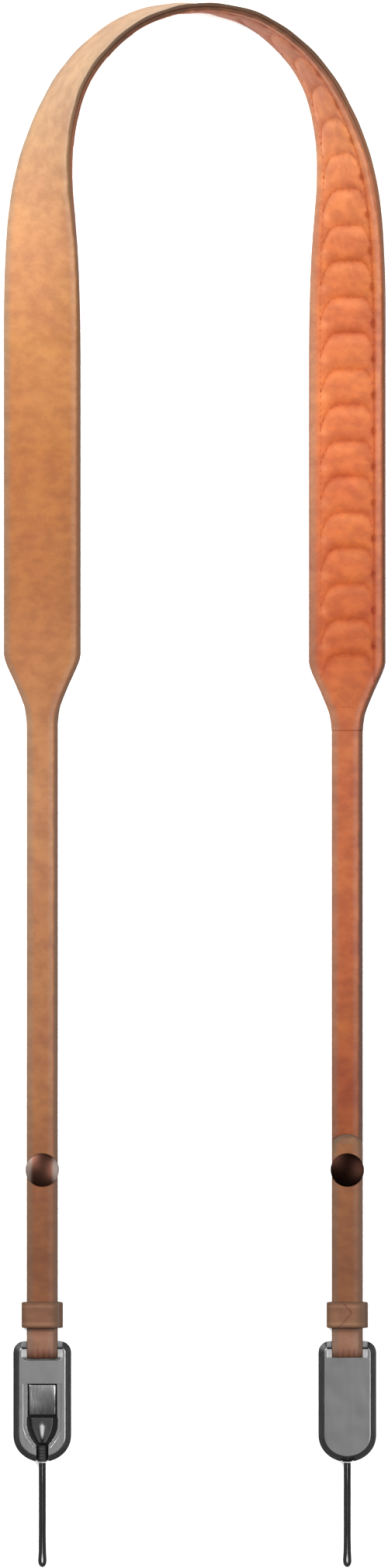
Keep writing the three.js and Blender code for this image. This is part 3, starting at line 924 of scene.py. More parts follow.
def textile(name: str, colour: Colour, roughness: float) -> bpy.types.Material:
    """Braided cord or thread, whose strands the mesh shapes, with painted shade where its "hollow" is high.
    """
    graph = Graph(name)
    place = graph.place()
    fibres = graph.noise(graph.stretched(place, 1, 0.5, 1), 6000, 3, 0.6)
    light = (fibres - 0.5) * 0.7 + 1.0 - graph.value("hollow") * 0.25
    tone = graph.varied(colour.linear, Value=light)
    return graph.finish(
        {
            "Base Color": tone,
            "Roughness": roughness,
            "Normal": graph.bump(fibres, 0.00004, 0.6),
            "Specular IOR Level": 0.2,
        }
    )


def floor_material() -> bpy.types.Material:
    """Pale matt floor, lit a little from below as on a light table."""
    graph = Graph("floor_white")
    return graph.finish(
        {
            "Base Color": (0.9, 0.9, 0.9, 1),
            "Roughness": 0.9,
            "Specular IOR Level": 0.1,
            "Emission Color": (1, 1, 1, 1),
            "Emission Strength": 0.35,
        }
    )


@dataclass(frozen=True)
class Finishes:
    """Every material of the scene."""

    band: bpy.types.Material
    lining: bpy.types.Material
    keeper: bpy.types.Material
    buckle: bpy.types.Material
    tab: bpy.types.Material
    anchor: bpy.types.Material
    ferrule: bpy.types.Material
    snap: bpy.types.Material
    cord: bpy.types.Material
    thread: bpy.types.Material
    floor: bpy.types.Material


def make_finishes() -> Finishes:
    """Makes every material once."""
    return Finishes(
        band=leather("grain_leather", GRAIN, INNER),
        lining=leather("lining_leather", INNER),
        keeper=leather("keeper_leather", GRAIN),
        buckle=metal("buckle_grey", BUCKLE_METAL),
        tab=metal("tab_grey", TAB_METAL),
        anchor=dark_plastic("anchor_black", Colour(20, 20, 21), 0.4),
        ferrule=dark_plastic("ferrule_black", Colour(11, 11, 12), 0.6),
        snap=metal("snap_dark", SNAP_METAL),
        cord=textile("cord_black", Colour(25, 25, 27), 0.85),
        thread=textile("thread_orange", Colour(148, 72, 38), 0.75),
        floor=floor_material(),
    )


# Leather pieces


@dataclass(frozen=True)
class Section:
    """A flat strip's section with rounded edges.

    Attributes:
        low: its lower face, out from the band's inner face.
        high: its upper face.
        roll: how far each rounded edge reaches in.
        columns: points over each face.
        squareness: exponent of the edge's curve, 2 for an ellipse.
    """

    low: float
    high: float
    roll: float
    columns: int
    squareness: float = 2.5

    def offsets(self, half: np.ndarray) -> tuple[np.ndarray, np.ndarray]:
        """Offsets across and out of one ring for each half width."""
        angle = np.radians(np.linspace(-90, 90, 11))
        reach = np.abs(np.cos(angle)) ** (2 / self.squareness)
        rise = np.sign(np.sin(angle)) * np.abs(np.sin(angle)) ** (2 / self.squareness)
        middle, depth = (self.low + self.high) / 2, (self.high - self.low) / 2
        roll = np.minimum(self.roll, half * 0.6)[:, None]
        flat = half[:, None] - roll
        right = flat + roll * reach
        face = flat * np.linspace(1, -1, self.columns + 2)[1:-1]
        across = np.hstack([right, face, -right[:, ::-1], -face])
        level = np.full(self.columns, 1.0)
        out = np.concatenate([rise, level, rise[::-1], -level]) * depth + middle
        return across, np.broadcast_to(out, across.shape)


def edge_distances(frames: Frames, across: np.ndarray) -> dict[str, np.ndarray]:
    """How far points are from the dark edge, at positive offsets, and from the pale one.

    The first is ARCH_THINNER longer on the arch, where the paint reaches less far over the leather.
    """
    up = frames.origin[:, 1] + MIDDLE_UP
    half = frames.half[:, None]
    thinner = ARCH_THINNER * smooth(150, 200, up)[:, None]
    return {"from_dark": half - across + thinner, "from_pale": half + across}


def build_band(line: MiddleLine, quilting: "Quilting", finishes: Finishes) -> bpy.types.Object:
    """The long leather band, from tail to tail, on whose face the quilting shows faintly."""
    folds = middle_stations(line)
    left = folded_end(Side.LEFT)
    tail = folded_end(Side.RIGHT).reversed()
    right = Frames(tail.origin, tail.across, tail.out, tail.half, line.total - tail.way)
    frames = left.joined(line.frames(folds), right)
    across, out = Section(0, LEATHER, 0.8, 11).offsets(frames.half)
    tip = np.minimum(frames.way - frames.way[0], frames.way[-1] - frames.way)
    edges = edge_distances(frames, across)
    values = {
        "from_dark": np.minimum(edges["from_dark"], tip[:, None] + 0.4),
        "from_pale": edges["from_pale"],
        "inner": 1 - smooth(0.35, 1.0, out) + np.zeros_like(across),
        # Painted shade below the keeper and in the fold ("hollow"), and grime with more painted shadow
        # ("soil").
        "hollow": fold_shadow(frames, across),
        "soil": tail_soil_and_shadow(frames, across, tip),
    }
    face = smooth(0.75, 1.0, out / LEATHER)
    out = out + ECHO_DEPTH * face * quilting.echo(frames.way[:, None], across)
    grid = Grid(frames.point(across, out), values)
    obj = grid_object("leather_band_soft", grid, finishes.band)
    return piece(obj, "grain_leather", "leather_band")


def fold_shadow(frames: Frames, across: np.ndarray) -> np.ndarray:
    """Painted shadow below the keeper, and painted shade where the band is folded hard round the bar."""
    up = frames.origin[:, 1] + MIDDLE_UP
    keeper_low = KEEPER_UP - KEEPER_LENGTH / 2
    creased = 1 - smooth(FOLD_UP - 1.2, FOLD_UP + 2.6, up)
    shaded = bell(up, keeper_low - 0.5, 0.75)
    wrinkles = 1 + 0.45 * np.sin(across * 3.1) * smooth(6, 2, np.abs(across))
    return np.clip(shaded[:, None] + creased[:, None] * 0.75 * wrinkles, 0, 1)


def tail_soil_and_shadow(frames: Frames, across: np.ndarray, from_tip: np.ndarray) -> np.ndarray:
    """Grime on the folded tails' tips and along their edges, and painted shadow below the keeper."""
    up = frames.origin[:, 1] + MIDDLE_UP
    tail = smooth(9, 2, from_tip)[:, None]
    edge = 0.35 + 0.65 * smooth(3.2, 5.2, np.abs(across))
    shaded = bell(up, KEEPER_UP - KEEPER_LENGTH / 2 - 0.6, 0.7)[:, None]
    return np.clip(tail * edge * 0.7 + shaded * 0.6, 0, 1)


def middle_stations(line: MiddleLine) -> np.ndarray:
    """Distances of the main run's rings: close together at the folds, a millimetre apart elsewhere."""
    ease = PART_UP - FOLD_UP + 1
    near = np.arange(0, ease, 0.4)
    run = np.arange(near[-1] + 0.8, line.total - ease, 1.0)
    return np.concatenate([near, run, (line.total - near)[::-1]])


@dataclass(frozen=True)
class Quilting:
    """The pad's cushions, between arched grooves and two side seams.

    Attributes:
        start: distance of the first groove along the middle line.
        end: distance of the last.
        half: distance of the side seams from the pad's middle.
    """

    start: float
    end: float
    half: float

    @property
    def pitch(self) -> float:
        """Distance from groove to groove."""
        return (self.end - self.start) / PUFFS

    def relief(self, way: np.ndarray, across: np.ndarray) -> tuple[np.ndarray, ...]:
        """Rise of the cushions, from 0 to 1, their painted shade in seams and grooves, and their painted
        light and shade.
        """
        at = across / self.half
        along = (way - self.start) / self.pitch + GROOVE_AHEAD
        phase = along - self._bow(at)
        number = np.floor(phase)
        share = phase - number
        wobble = 0.5 + 0.5 * np.sin(number * 2.39 + 1.3)
        pillow = (1 - np.abs(2 * share - 1) ** (2.0 + 0.6 * wobble)) ** 0.85
        lean = 1 + 0.14 * (share - 0.5) * np.sin(number * 1.7)
        side = (1 - np.minimum(np.abs(at), 1.0) ** 3.2) ** 0.75
        outside = np.minimum(smooth(-0.02, 0.12, phase), smooth(PUFFS + 0.02, PUFFS - 0.12, phase))
        pucker = self._pucker(way, across, share, number)
        rise = pillow * lean * side * outside * (0.9 + 0.16 * wobble)
        inside = (np.abs(at) < 1.12) & (phase > -0.1) & (phase < PUFFS + 0.1)
        # Painted shade: in the grooves, in the seam on the dark edge's side, and in dark pinches where the
        # grooves meet the seams, stronger on that side.
        groove = bell(to_end(share) * self.pitch, 0, 1)
        seam = bell(at * self.half, self.half, 0.6) * 0.5
        from_seam = along - GROOVE_BOW - np.round(along - GROOVE_BOW)
        pinch = bell(np.abs(at), 0.96, 0.1) * bell(from_seam, 0.09, 0.1)
        hollow = np.maximum(groove * 0.32 * (np.abs(at) < 1), seam) + pinch * (0.55 + 0.35 * np.sign(at))
        # Painted light and shade: a highlight just past each groove, shade on the cushion's side before the
        # next groove, and glints where the grooves meet the seam on the pale edge's side.
        from_groove = np.where(share > 0.7, share - 1, share)
        crest = bell(from_groove, 0.17, 0.13) * (0.7 + 0.3 * wobble)
        flank = smooth(0.66, 0.96, share) * (0.75 + 0.25 * np.sin(number * 3.3))
        glint = bell(from_seam, 0.12, 0.12) * bell(at, -0.9, 0.17)
        middle = (1 - np.minimum(np.abs(at), 1.0) ** 4) * outside
        worn = (0.42 * crest - 0.5 * flank) * middle + 0.95 * glint * inside
        return rise + pucker * outside, np.clip(hollow * inside, 0, 1), worn

    def _bow(self, at: np.ndarray) -> np.ndarray:
        """How far a groove hangs back at each place across, squarer towards the dark edge."""
        return GROOVE_BOW * np.minimum(np.abs(at), 1.0) ** np.where(at > 0, 7.0, 4.0)

    def _pucker(
        self, way: np.ndarray, across: np.ndarray, share: np.ndarray, number: np.ndarray
    ) -> np.ndarray:
        """Small folds that the seams pull into the cushions."""
        near_groove = bell(to_end(share) * self.pitch, 0, 2.1)
        near_side = bell(np.abs(across), self.half, 2.0) * (np.abs(across) < self.half)
        folds = np.sin(across * 2.2 + number * 2.1) * near_groove * (0.11 + 0.06 * np.sin(number * 1.9))
        return folds + np.sin(way * 2.2 + np.sin(way * 0.31) * 2) * near_side * 0.08

    def echo(self, way: np.ndarray, across: np.ndarray) -> np.ndarray:
        """Faint waves that the cushions press into the grain side."""
        phase = (way - self.start) / self.pitch
        inside = smooth(0, 1.5, phase) * smooth(PUFFS, PUFFS - 1.5, phase)
        waves = np.cos(2 * np.pi * phase + np.sin(phase * 1.9) * 0.5)
        return inside * waves * (1 - (across / PAD_WIDTH) ** 2)

    def groove(self, number: int) -> tuple[np.ndarray, np.ndarray]:
        """Distance along and across of one groove's line."""
        at = np.sin(np.linspace(-1.4, 1.4, 61))
        return self.start + self.pitch * (number - GROOVE_AHEAD + self._bow(at)), at * self.half


def make_quilting(line: MiddleLine) -> Quilting:
    """The quilting between the pad's two ends."""
    start = line.distance(Side.LEFT, PAD_END_UP[Side.LEFT])
    end = line.distance(Side.RIGHT, PAD_END_UP[Side.RIGHT])
    return Quilting(start, end, PAD_WIDTH / 2 - LINING_MARGIN)


def lining_height(frames: Frames, across: np.ndarray, quilting: Quilting) -> tuple[np.ndarray, ...]:
    """Depth of the lining's inner surface under the band's inner face, its painted seam shade, and its
    painted light and shade.
    """
    wide = (frames.half * 2 - NARROW_WIDTH) / (PAD_WIDTH - NARROW_WIDTH)
    border = LINING_END + (LINING_BORDER - LINING_END) * np.clip(wide * 1.6, 0, 1)
    rise, hollow, worn = quilting.relief(frames.way[:, None], across)
    swell = 1.8 * wide * (1 - wide) * (1 - np.minimum(np.abs(across) / frames.half[:, None], 1) ** 2).T
    depth = LINING_GAP + border[:, None] + LINING_CROWN * rise + LINING_CROWN * 0.5 * swell.T
    return depth, hollow, worn


def build_lining(line: MiddleLine, quilting: Quilting, finishes: Finishes) -> bpy.types.Object:
    """The quilted lining, with cushions, a border and rounded painted edges."""
    run_out = TAPER[-1].down
    way = np.arange(quilting.start - run_out, quilting.end + run_out, LINING_STEP)
    frames = line.frames(way)
    half = frames.half - LINING_INSET
    roll = np.minimum(LINING_ROLL, half * 0.4)[:, None]
    bend = np.radians(np.linspace(0, 90, 7))[1:]
    face = np.linspace(-1, 1, LINING_COLUMNS) * (half[:, None] - roll)
    depth, hollow, worn = lining_height(frames, face, quilting)
    edge_depth = depth[:, :1]
    right = half[:, None] - roll + roll * np.cos(bend)
    edge_out = -LINING_GAP - (edge_depth - LINING_GAP) * np.sin(bend)
    top = np.full((len(way), 1), -LINING_GAP)
    across = np.hstack([half[:, None], -half[:, None], -right, face, right[:, ::-1]])
    out = np.hstack([top, top, edge_out, -depth, edge_out[:, ::-1]])
    sides = np.zeros((len(way), len(bend)))
    values = {
        **edge_distances(frames, across),
        # Painted shade in the seams and grooves, and painted light and shade on the cushions.
        "hollow": np.hstack([sides[:, :2], sides, hollow, sides]),
        "worn": np.hstack([sides[:, :2], sides, worn, sides]),
    }
    grid = Grid(frames.point(across, out), values)
    obj = grid_object("quilted_lining_soft", grid, finishes.lining)
    piece(obj, "lining_leather", "quilted_lining")
    return obj


# Stitching, laid along lines by geometry nodes


@dataclass(frozen=True)
class Stitches:
    """A kind of stitch.

    Attributes:
        pitch: from one stitch to the next, in millimetres.
        length: of one stitch.
        thickness: of the thread.
    """

    pitch: float
    length: float
    thickness: float


QUILT_STITCH = Stitches(2.4, 1.6, 0.25)
TACK_STITCH = Stitches(1.3, 0.95, 0.32)
STITCH_DIVE = 0.16
TACKS_DOWN = 15.2
TACKS_HALF = 2.0


def stitch_mesh(kind: Stitches) -> bpy.types.Mesh:
    """One stitch along X: a thread that dives into the leather at both ends."""
    at = np.linspace(-1, 1, 9)
    round_ = np.sqrt(np.clip(1 - np.abs(at) ** 3, 0.04, 1))
    angle = circle(8)
    radius = kind.thickness / 2 * round_[:, None]
    x = np.repeat(at[:, None] * kind.length / 2, len(angle), axis=1)
    z = radius * np.sin(angle) - STITCH_DIVE * at[:, None] ** 4
    points = np.stack([x, -radius * np.cos(angle), z], axis=-1)
    # Painted shade on the thread, deepest where it dives into the leather.
    return Grid(points, {"hollow": np.abs(x) / kind.length}).mesh("stitch")


def stitch_tree(stitch: bpy.types.Object, material: bpy.types.Material) -> bpy.types.NodeTree:
    """Geometry nodes that lay stitches along the lines of a wire mesh, square to its "lift".

    Args:
        stitch: the object of one stitch.
        material: of the stitches.

    Returns:
        The tree, whose input "Pitch" is the distance from stitch to stitch, in metres.
    """
    tree = bpy.data.node_groups.new("stitch_row", "GeometryNodeTree")
    tree.interface.new_socket("Geometry", in_out="INPUT", socket_type="NodeSocketGeometry")
    tree.interface.new_socket("Pitch", in_out="INPUT", socket_type="NodeSocketFloat")
    tree.interface.new_socket("Geometry", in_out="OUTPUT", socket_type="NodeSocketGeometry")
    made = {}

    def node(label: str, kind_name: str, inputs: Mapping[str, Any], **settings: Any) -> bpy.types.Node:
        """Adds a node, whose inputs are values or (label, output) pairs."""
        new = tree.nodes.new(kind_name)
        for name, value in settings.items():
            setattr(new, name, value)
        for socket, value in inputs.items():
            if isinstance(value, tuple) and value[0] in made:
                tree.links.new(made[value[0]].outputs[value[1]], new.inputs[socket])
            else:
                new.inputs[socket].default_value = value
        made[label] = new
        return new

    node("in", "NodeGroupInput", {})
    node("curve", "GeometryNodeMeshToCurve", {"Mesh": ("in", 0)})
    rows = {"Curve": ("curve", 0), "Length": ("in", "Pitch")}
    node("spaced", "GeometryNodeResampleCurve", rows, mode="LENGTH")
    node("lift", "GeometryNodeInputNamedAttribute", {"Name": "lift"}, data_type="FLOAT_VECTOR")
    node("ahead", "GeometryNodeInputTangent", {})
    axes = {"Primary Axis": ("lift", 0), "Secondary Axis": ("ahead", 0)}
    node("turn", "FunctionNodeAxesToRotation", axes, primary_axis="Z", secondary_axis="X")
    node("one", "GeometryNodeObjectInfo", {"Object": stitch}, transform_space="ORIGINAL")
    laid = {"Points": ("spaced", 0), "Instance": ("one", "Geometry"), "Rotation": ("turn", 0)}
    node("laid", "GeometryNodeInstanceOnPoints", laid)
    node("real", "GeometryNodeRealizeInstances", {"Geometry": ("laid", 0)})
    node("dyed", "GeometryNodeSetMaterial", {"Geometry": ("real", 0), "Material": material})
    node("out", "NodeGroupOutput", {"Geometry": ("dyed", 0)})
    return tree


@dataclass(frozen=True)
class Seam:
    """A line of points with the direction out of the surface at each, in millimetres."""

    points: np.ndarray
    lift: np.ndarray


def sew(name: str, seams: Sequence[Seam], kind: Stitches, material: bpy.types.Material) -> bpy.types.Object:
    """Lays stitches along seams and returns them as one mesh object."""
    points = np.vstack([seam.points for seam in seams]) * MM
    lift = np.vstack([unit(seam.lift) for seam in seams])
    edges, first = [], 0
    for seam in seams:
        count = len(seam.points)
        edges += [(first + i, first + i + 1) for i in range(count - 1)]
        first += count
    wire = bpy.data.meshes.new(name)
    wire.from_pydata(points.tolist(), edges, [])
    wire.attributes.new("lift", "FLOAT_VECTOR", "POINT").data.foreach_set("vector", lift.ravel())
    rows = add_object(name, wire)
    stitch = add_object(f"{name}_one", stitch_mesh(kind))
    modifier = rows.modifiers.new("stitches", "NODES")
    tree = stitch_tree(stitch, material)
    modifier.node_group = tree
    modifier[tree.interface.items_tree["Pitch"].identifier] = kind.pitch * MM
    settle(rows)
    bpy.data.objects.remove(stitch)
    rows.data.materials.clear()
    rows.data.materials.append(material)
    return rows


def lining_seam(line: MiddleLine, quilting: Quilting, way: np.ndarray, across: np.ndarray) -> Seam:
    """A seam on the lining's surface, at distances along and across."""
    frames = line.frames(way)
    depth = lining_height(frames, across[:, None], quilting)[0]
    points = frames.point(across[:, None], -depth - 0.02)[:, 0]
    return Seam(points, -frames.out)


def build_quilt_stitches(line: MiddleLine, quilting: Quilting, finishes: Finishes) -> bpy.types.Object:
    """Stitches in every groove and along both side seams of the pad."""
    seams = []
    for number in range(1, PUFFS + 1):
        way, across = quilting.groove(number)
        seams.append(lining_seam(line, quilting, way, across))
    way = np.arange(quilting.start, quilting.end, 1.2)
    for sign in (-1, 1):
        across = np.full(len(way), sign * quilting.half * 1.005)
        seams.append(lining_seam(line, quilting, way, across))
    rows = sew("quilt_stitches", seams, QUILT_STITCH, finishes.thread)
    return piece(rows, "lining_leather")


def build_tacks(line: MiddleLine, quilting: Quilting, finishes: Finishes) -> bpy.types.Object:
    """A short bar of stitches where the lining runs out at each end of the pad."""
    seams = []
    for side in Side:
        up = PAD_END_UP[side] - TACKS_DOWN
        across = np.linspace(-TACKS_HALF, TACKS_HALF, 9)
        way = np.full(len(across), line.distance(side, up))
        seams.append(lining_seam(line, quilting, way, across))
    rows = sew("taper_tacks", seams, TACK_STITCH, finishes.thread)
    return piece(rows, "lining_leather")


# Keepers


@dataclass(frozen=True)
class KeeperShape:
    """Loop of leather round the folded end, in millimetres."""

    half: float = 7.5
    height: float = 6.5
    wall: float = 1.2
    corner: float = 2.0


def keeper_path(shape: KeeperShape) -> tuple[np.ndarray, np.ndarray]:
    """Middle of the keeper's wall round the strap, from the middle of its back, and its outward side."""
    half, high = shape.half - shape.wall / 2, shape.height - shape.wall / 2
    low = shape.wall / 2
    radius = shape.corner - shape.wall / 2
    points, normals = [], []
    runs = (
        ((0, low), (half - radius, low), (0, -1)),
        ((half, low + radius), (half, high - radius), (1, 0)),
        ((half - radius, high), (radius - half, high), (0, 1)),
        ((-half, high - radius), (-half, low + radius), (-1, 0)),
        ((radius - half, low), (0, low), (0, -1)),
    )
    centres = ((half - radius, low + radius, -90), (half - radius, high - radius, 0))
    centres += ((radius - half, high - radius, 90), (radius - half, low + radius, 180))
    for number, (start, end, normal) in enumerate(runs):
        share = np.linspace(0, 1, 14 if normal[1] else 4)[:, None]
        points.append(np.array(start) * (1 - share) + np.array(end) * share)
        normals.append(np.tile(normal, (len(share), 1)).astype(float))
        if number < 4:
            x, z, first = centres[number]
            angle = np.radians(np.linspace(first, first + 90, 8)[1:-1])
            turn = np.stack([np.cos(angle), np.sin(angle)], axis=1)
            points.append(np.array([x, z]) + radius * turn)
            normals.append(turn)
    return np.vstack(points)[:-1], np.vstack(normals)[:-1]


def build_keeper(side: Side, finishes: Finishes) -> bpy.types.Object:
    """One keeper, whose slanted joint is on its back: below on the left, on top on the right."""
    shape = KeeperShape()
    low, high = box_of(f"keeper_loop_{side.value}")
    path, normal = keeper_path(shape)
    if side.turned_over:
        path = np.stack([-path[:, 0], shape.height - path[:, 1]], axis=1)
        normal = -normal
    length = high[1] - low[1]
    across, out = Section(-shape.wall / 2, shape.wall / 2, 0.42, 17, 2.3).offsets(np.array([length / 2]))
    across, out = across[0], out[0]
    middle = (low + high) / 2
    rings, joint = [], []
    for (x, z), (nx, nz) in zip(path, normal):
        on_back = (nz > 0.9) if side.turned_over else (nz < -0.9)
        cut = keeper_joint(x, across) * (out > 0) * on_back
        reach = out - 0.34 * cut
        rings.append(np.stack([middle[0] + x + nx * reach, middle[1] + across, z + nz * reach], axis=1))
        joint.append(cut)
    points = np.array(rings)
    edge = np.tile(length / 2 - np.abs(across) + 0.95, (len(points), 1))
    x = points[..., 0] - middle[0]
    # Painted light and shade: a darker joint groove, the dark edge colour spread over the right end, shade
    # on the right end and the left bend, and paler lines along both edges.
    values = {
        "from_dark": np.minimum(edge, 2.3 - 1.1 * smooth(2.6, 6.6, x)),
        "from_pale": edge + 2.4,
        "hollow": np.array(joint) * 0.9,
        "soil": 0.9 * smooth(1.8, 6.6, x) + 0.45 * smooth(-4.2, -7.2, x),
        "worn": 1.3 * bell(np.abs(across), length / 2 - 1.5, 0.5) + 0 * x,
    }
    obj = grid_object(f"keeper_{side.value}", Grid(points, values), finishes.keeper, ends_meet=True)
    return piece(obj, "grain_leather", f"keeper_loop_{side.value}")


def keeper_joint(x: float, across: np.ndarray) -> np.ndarray:
    """Depth of the groove where the keeper's two ends meet in a V, from 0 to 1."""
    line = 1.6 - np.abs(across - 0.6) * 0.85
    return bell(x, line, 0.35)


# Buckles and their inner parts


def softened(node: str, name: str, width: float, material: bpy.types.Material) -> bpy.types.Object:
    """A copy of a CAD node's mesh with its edges rounded.

    Its flat faces are joined on each side of a seam down the middle, so that no face has a hole.

    Args:
        node: the CAD node.
        name: the new object's name.
        width: of the rounding, in millimetres.
        material: of the new object.

    Returns:
        The object, at the node's place.
    """
    mesh = bpy.data.objects[node].data.copy()
    clean = bmesh.new()
    clean.from_mesh(mesh)
    bmesh.ops.remove_doubles(clean, verts=clean.verts, dist=1e-6)
    middle = (max(v.co.x for v in clean.verts) + min(v.co.x for v in clean.verts)) / 2
    everything = clean.verts[:] + clean.edges[:] + clean.faces[:]
    cut = bmesh.ops.bisect_plane(clean, geom=everything, plane_co=(middle, 0, 0), plane_no=(1, 0, 0))
    for item in cut["geom_cut"]:
        if isinstance(item, bmesh.types.BMEdge):
            item.seam = True
    bmesh.ops.dissolve_limit(
        clean, angle_limit=FLAT_WITHIN, verts=clean.verts, edges=clean.edges, delimit={"SEAM"}
    )
    clean.to_mesh(mesh)
    clean.free()
    mesh.name = name
    obj = add_object(name, mesh, material)
    bevel = obj.modifiers.new("rounding", "BEVEL")
    bevel.width = width * MM
    bevel.segments = 3
    bevel.limit_method = "ANGLE"
    bevel.angle_limit = SHARP_BEYOND
    obj.data.polygons.foreach_set("use_smooth", np.ones(len(obj.data.polygons), bool))
    obj.modifiers.new("flat_plates", "WEIGHTED_NORMAL").keep_sharp = True
    return settle(obj)


def smooth_by_angle(mesh: bpy.types.Mesh, degrees: float) -> None:
    """Shades a mesh smooth but for edges sharper than this."""
    mesh.polygons.foreach_set("use_smooth", np.ones(len(mesh.polygons), bool))
    bm = bmesh.new()
    bm.from_mesh(mesh)
    limit = math.radians(degrees)
    for edge in bm.edges:
        edge.smooth = len(edge.link_faces) == 2 and edge.calc_face_angle(0) < limit
    bm.to_mesh(mesh)
    bm.free()


def build_buckle(side: Side, finishes: Finishes) -> bpy.types.Object:
    """One buckle's body."""
    node = f"buckle_body_{side.value}"
    obj = softened(node, f"buckle_{side.value}", ROUNDING, finishes.buckle)
    shade_pockets(obj.data, side)
    return piece(obj, "buckle_metal", node)


def shade_pockets(mesh: bpy.types.Mesh, side: Side) -> None:
    """Marks the painted shade of each point of a buckle, in its pocket, its mouth and on its rim, and the
    darker plate of the turned-over buckle, as "deep".
    """
    points = np.empty(len(mesh.vertices) * 3)
    mesh.vertices.foreach_get("co", points)
    x, y, z = points.reshape(-1, 3).T / MM
    across = np.abs(x - side.sign * LEG_X)
    down = BUCKLE_TOP_UP - MIDDLE_UP - y
    height = BUCKLE_THICKNESS - z if side.turned_over else z
    in_slot = (across < SLOT_HALF) & (down < SLOT_FOOT)
    in_pocket = (across < POCKET_HALF) & ~in_slot & (down < BUCKLE_LENGTH - POCKET_FOOT)
    in_mouth = (across < MOUTH_HALF) & (down > BUCKLE_LENGTH - MOUTH_HEAD)
    inside = in_slot | in_pocket | in_mouth
    deep = smooth(5.2, 3.0, height) * (height > 0.5) * (in_pocket | in_mouth)
    deep = deep + RIM_SHADE[side] * ~inside * (z < BUCKLE_THICKNESS - 1.0)
    deep = np.where(z > BUCKLE_THICKNESS - 2 * ROUNDING, PLATE_SHADE[side], deep)
    attribute = mesh.attributes.new("deep", "FLOAT", "POINT")
    attribute.data.foreach_set("value", deep.astype(np.float32))


@dataclass(frozen=True)
class Slab:
    """A node's box in its buckle's own frame, turned over on the right leg.

    Attributes:
        middle_x: of the box.
        low_y: its lower end.
        high_y: its upper end.
        half: half of its width.
        base: its back face's height.
        face: its front face's height.
        sign: 1, or -1 where it is turned over.
    """

    middle_x: float
    low_y: float
    high_y: float
    half: float
    base: float
    face: float
    sign: int

    def point(self, across: np.ndarray, y: np.ndarray, rise: np.ndarray) -> np.ndarray:
        """Points across, along and over the back face, in millimetres in the row frame."""
        x = self.middle_x + self.sign * across
        return np.stack(np.broadcast_arrays(x, y, self.base + self.sign * rise), axis=-1)

    @property
    def depth(self) -> float:
        """From its back face to its front face."""
        return abs(self.face - self.base)


def slab_of(node: str, side: Side) -> Slab:
    """The box of a buckle's inner part."""
    low, high = box_of(node)
    base, face = (high[2], low[2]) if side.turned_over else (low[2], high[2])
    middle, half = (low[0] + high[0]) / 2, (high[0] - low[0]) / 2
    return Slab(middle, low[1], high[1], half, base, face, -1 if side.turned_over else 1)


def build_tab(side: Side, finishes: Finishes) -> bpy.types.Object:
    """One release tab: a dished thumb plate, with painted shade towards its lower end and along its rim."""
    node = f"release_tab_{side.value}"
    slab = slab_of(node, side)
    y = np.linspace(slab.high_y, slab.low_y, 64)
    share = (slab.high_y - y) / (slab.high_y - slab.low_y)
    face = slab.depth - TAB_FALL * share**1.7
    ends = np.minimum(1, to_end(share) / 0.035)
    crown = TAB_CROWN * (1 - np.sqrt(np.clip(1 - (1 - ends) ** 2, 0, 1)))
    across, out = Section(0, 1, 0.45, 25, 3.2).offsets(np.full(len(y), slab.half))
    hollow = TAB_DISH * (1 - (across / slab.half) ** 2) * smooth(0.1, 0.6, share)[:, None]
    top = (face - crown)[:, None] - hollow
    points = slab.point(across, y[:, None], out * top)
    if side.turned_over:
        points = points[:, ::-1]
    rim = np.maximum(smooth(0.05, 0.0, share)[:, None], smooth(0.9, 0.98, np.abs(across) / slab.half))
    values = {"deep": np.maximum(smooth(0.15, 1.1, share)[:, None], 0.7 * rim)[::-1]}
    obj = grid_object(f"tab_{side.value}", Grid(points[::-1], values), finishes.tab)
    smooth_by_angle(obj.data, 40)
    return piece(obj, "tab_metal", node, body=f"{side.value}_release")


def build_anchor(side: Side, finishes: Finishes) -> bpy.types.Object:
    """One anchor: a dark plug that tapers to the cord, with a ridge like a drop on its face and a painted
    highlight on the drop.
    """
    node = f"cord_anchor_{side.value}"
    slab = slab_of(node, side)
    share = np.linspace(0, 1, 60)
    y = slab.high_y + (slab.low_y - slab.high_y) * share
    half = np.interp(share, *zip(*ANCHOR_OUTLINE))
    half = np.convolve(np.pad(half, 4, mode="edge"), np.ones(9) / 9, mode="valid")
    across, out = Section(0, 1, 0.7, 29, 2.6).offsets(half)
    ends = np.minimum(1, to_end(share) / 0.05)
    body = slab.depth * (ANCHOR_RISE + 0.05 * smooth(0.5, 0, share)) * (0.75 + 0.25 * np.sqrt(ends))
    drop_half = DROP_HALF * np.clip(smooth(0.14, 0.4, share) * (1.25 - share), 0.02, 1)
    drop = np.clip(1 - np.abs(across / drop_half[:, None]) ** 1.6, 0, 1) ** 0.7
    swell = drop * smooth(0.14, 0.38, share)[:, None] * smooth(1.0, 0.8, share)[:, None]
    top = body[:, None] + slab.depth * DROP_RISE * swell
    points = slab.point(across, y[:, None], out * top)
    if side.turned_over:
        points = points[:, ::-1]
    # Painted highlight on the drop's ridge, light grey.
    bright = np.clip(swell * 1.25 - 0.3, 0, 1) * (out > 0.5) * smooth(0.86, 0.6, share)[:, None]
    if side.turned_over:
        bright = bright[:, ::-1]
    grid = Grid(points[::-1], {"polished": bright[::-1]})
    obj = grid_object(f"anchor_{side.value}", grid, finishes.anchor)
    return piece(obj, "anchor_plastic", node)


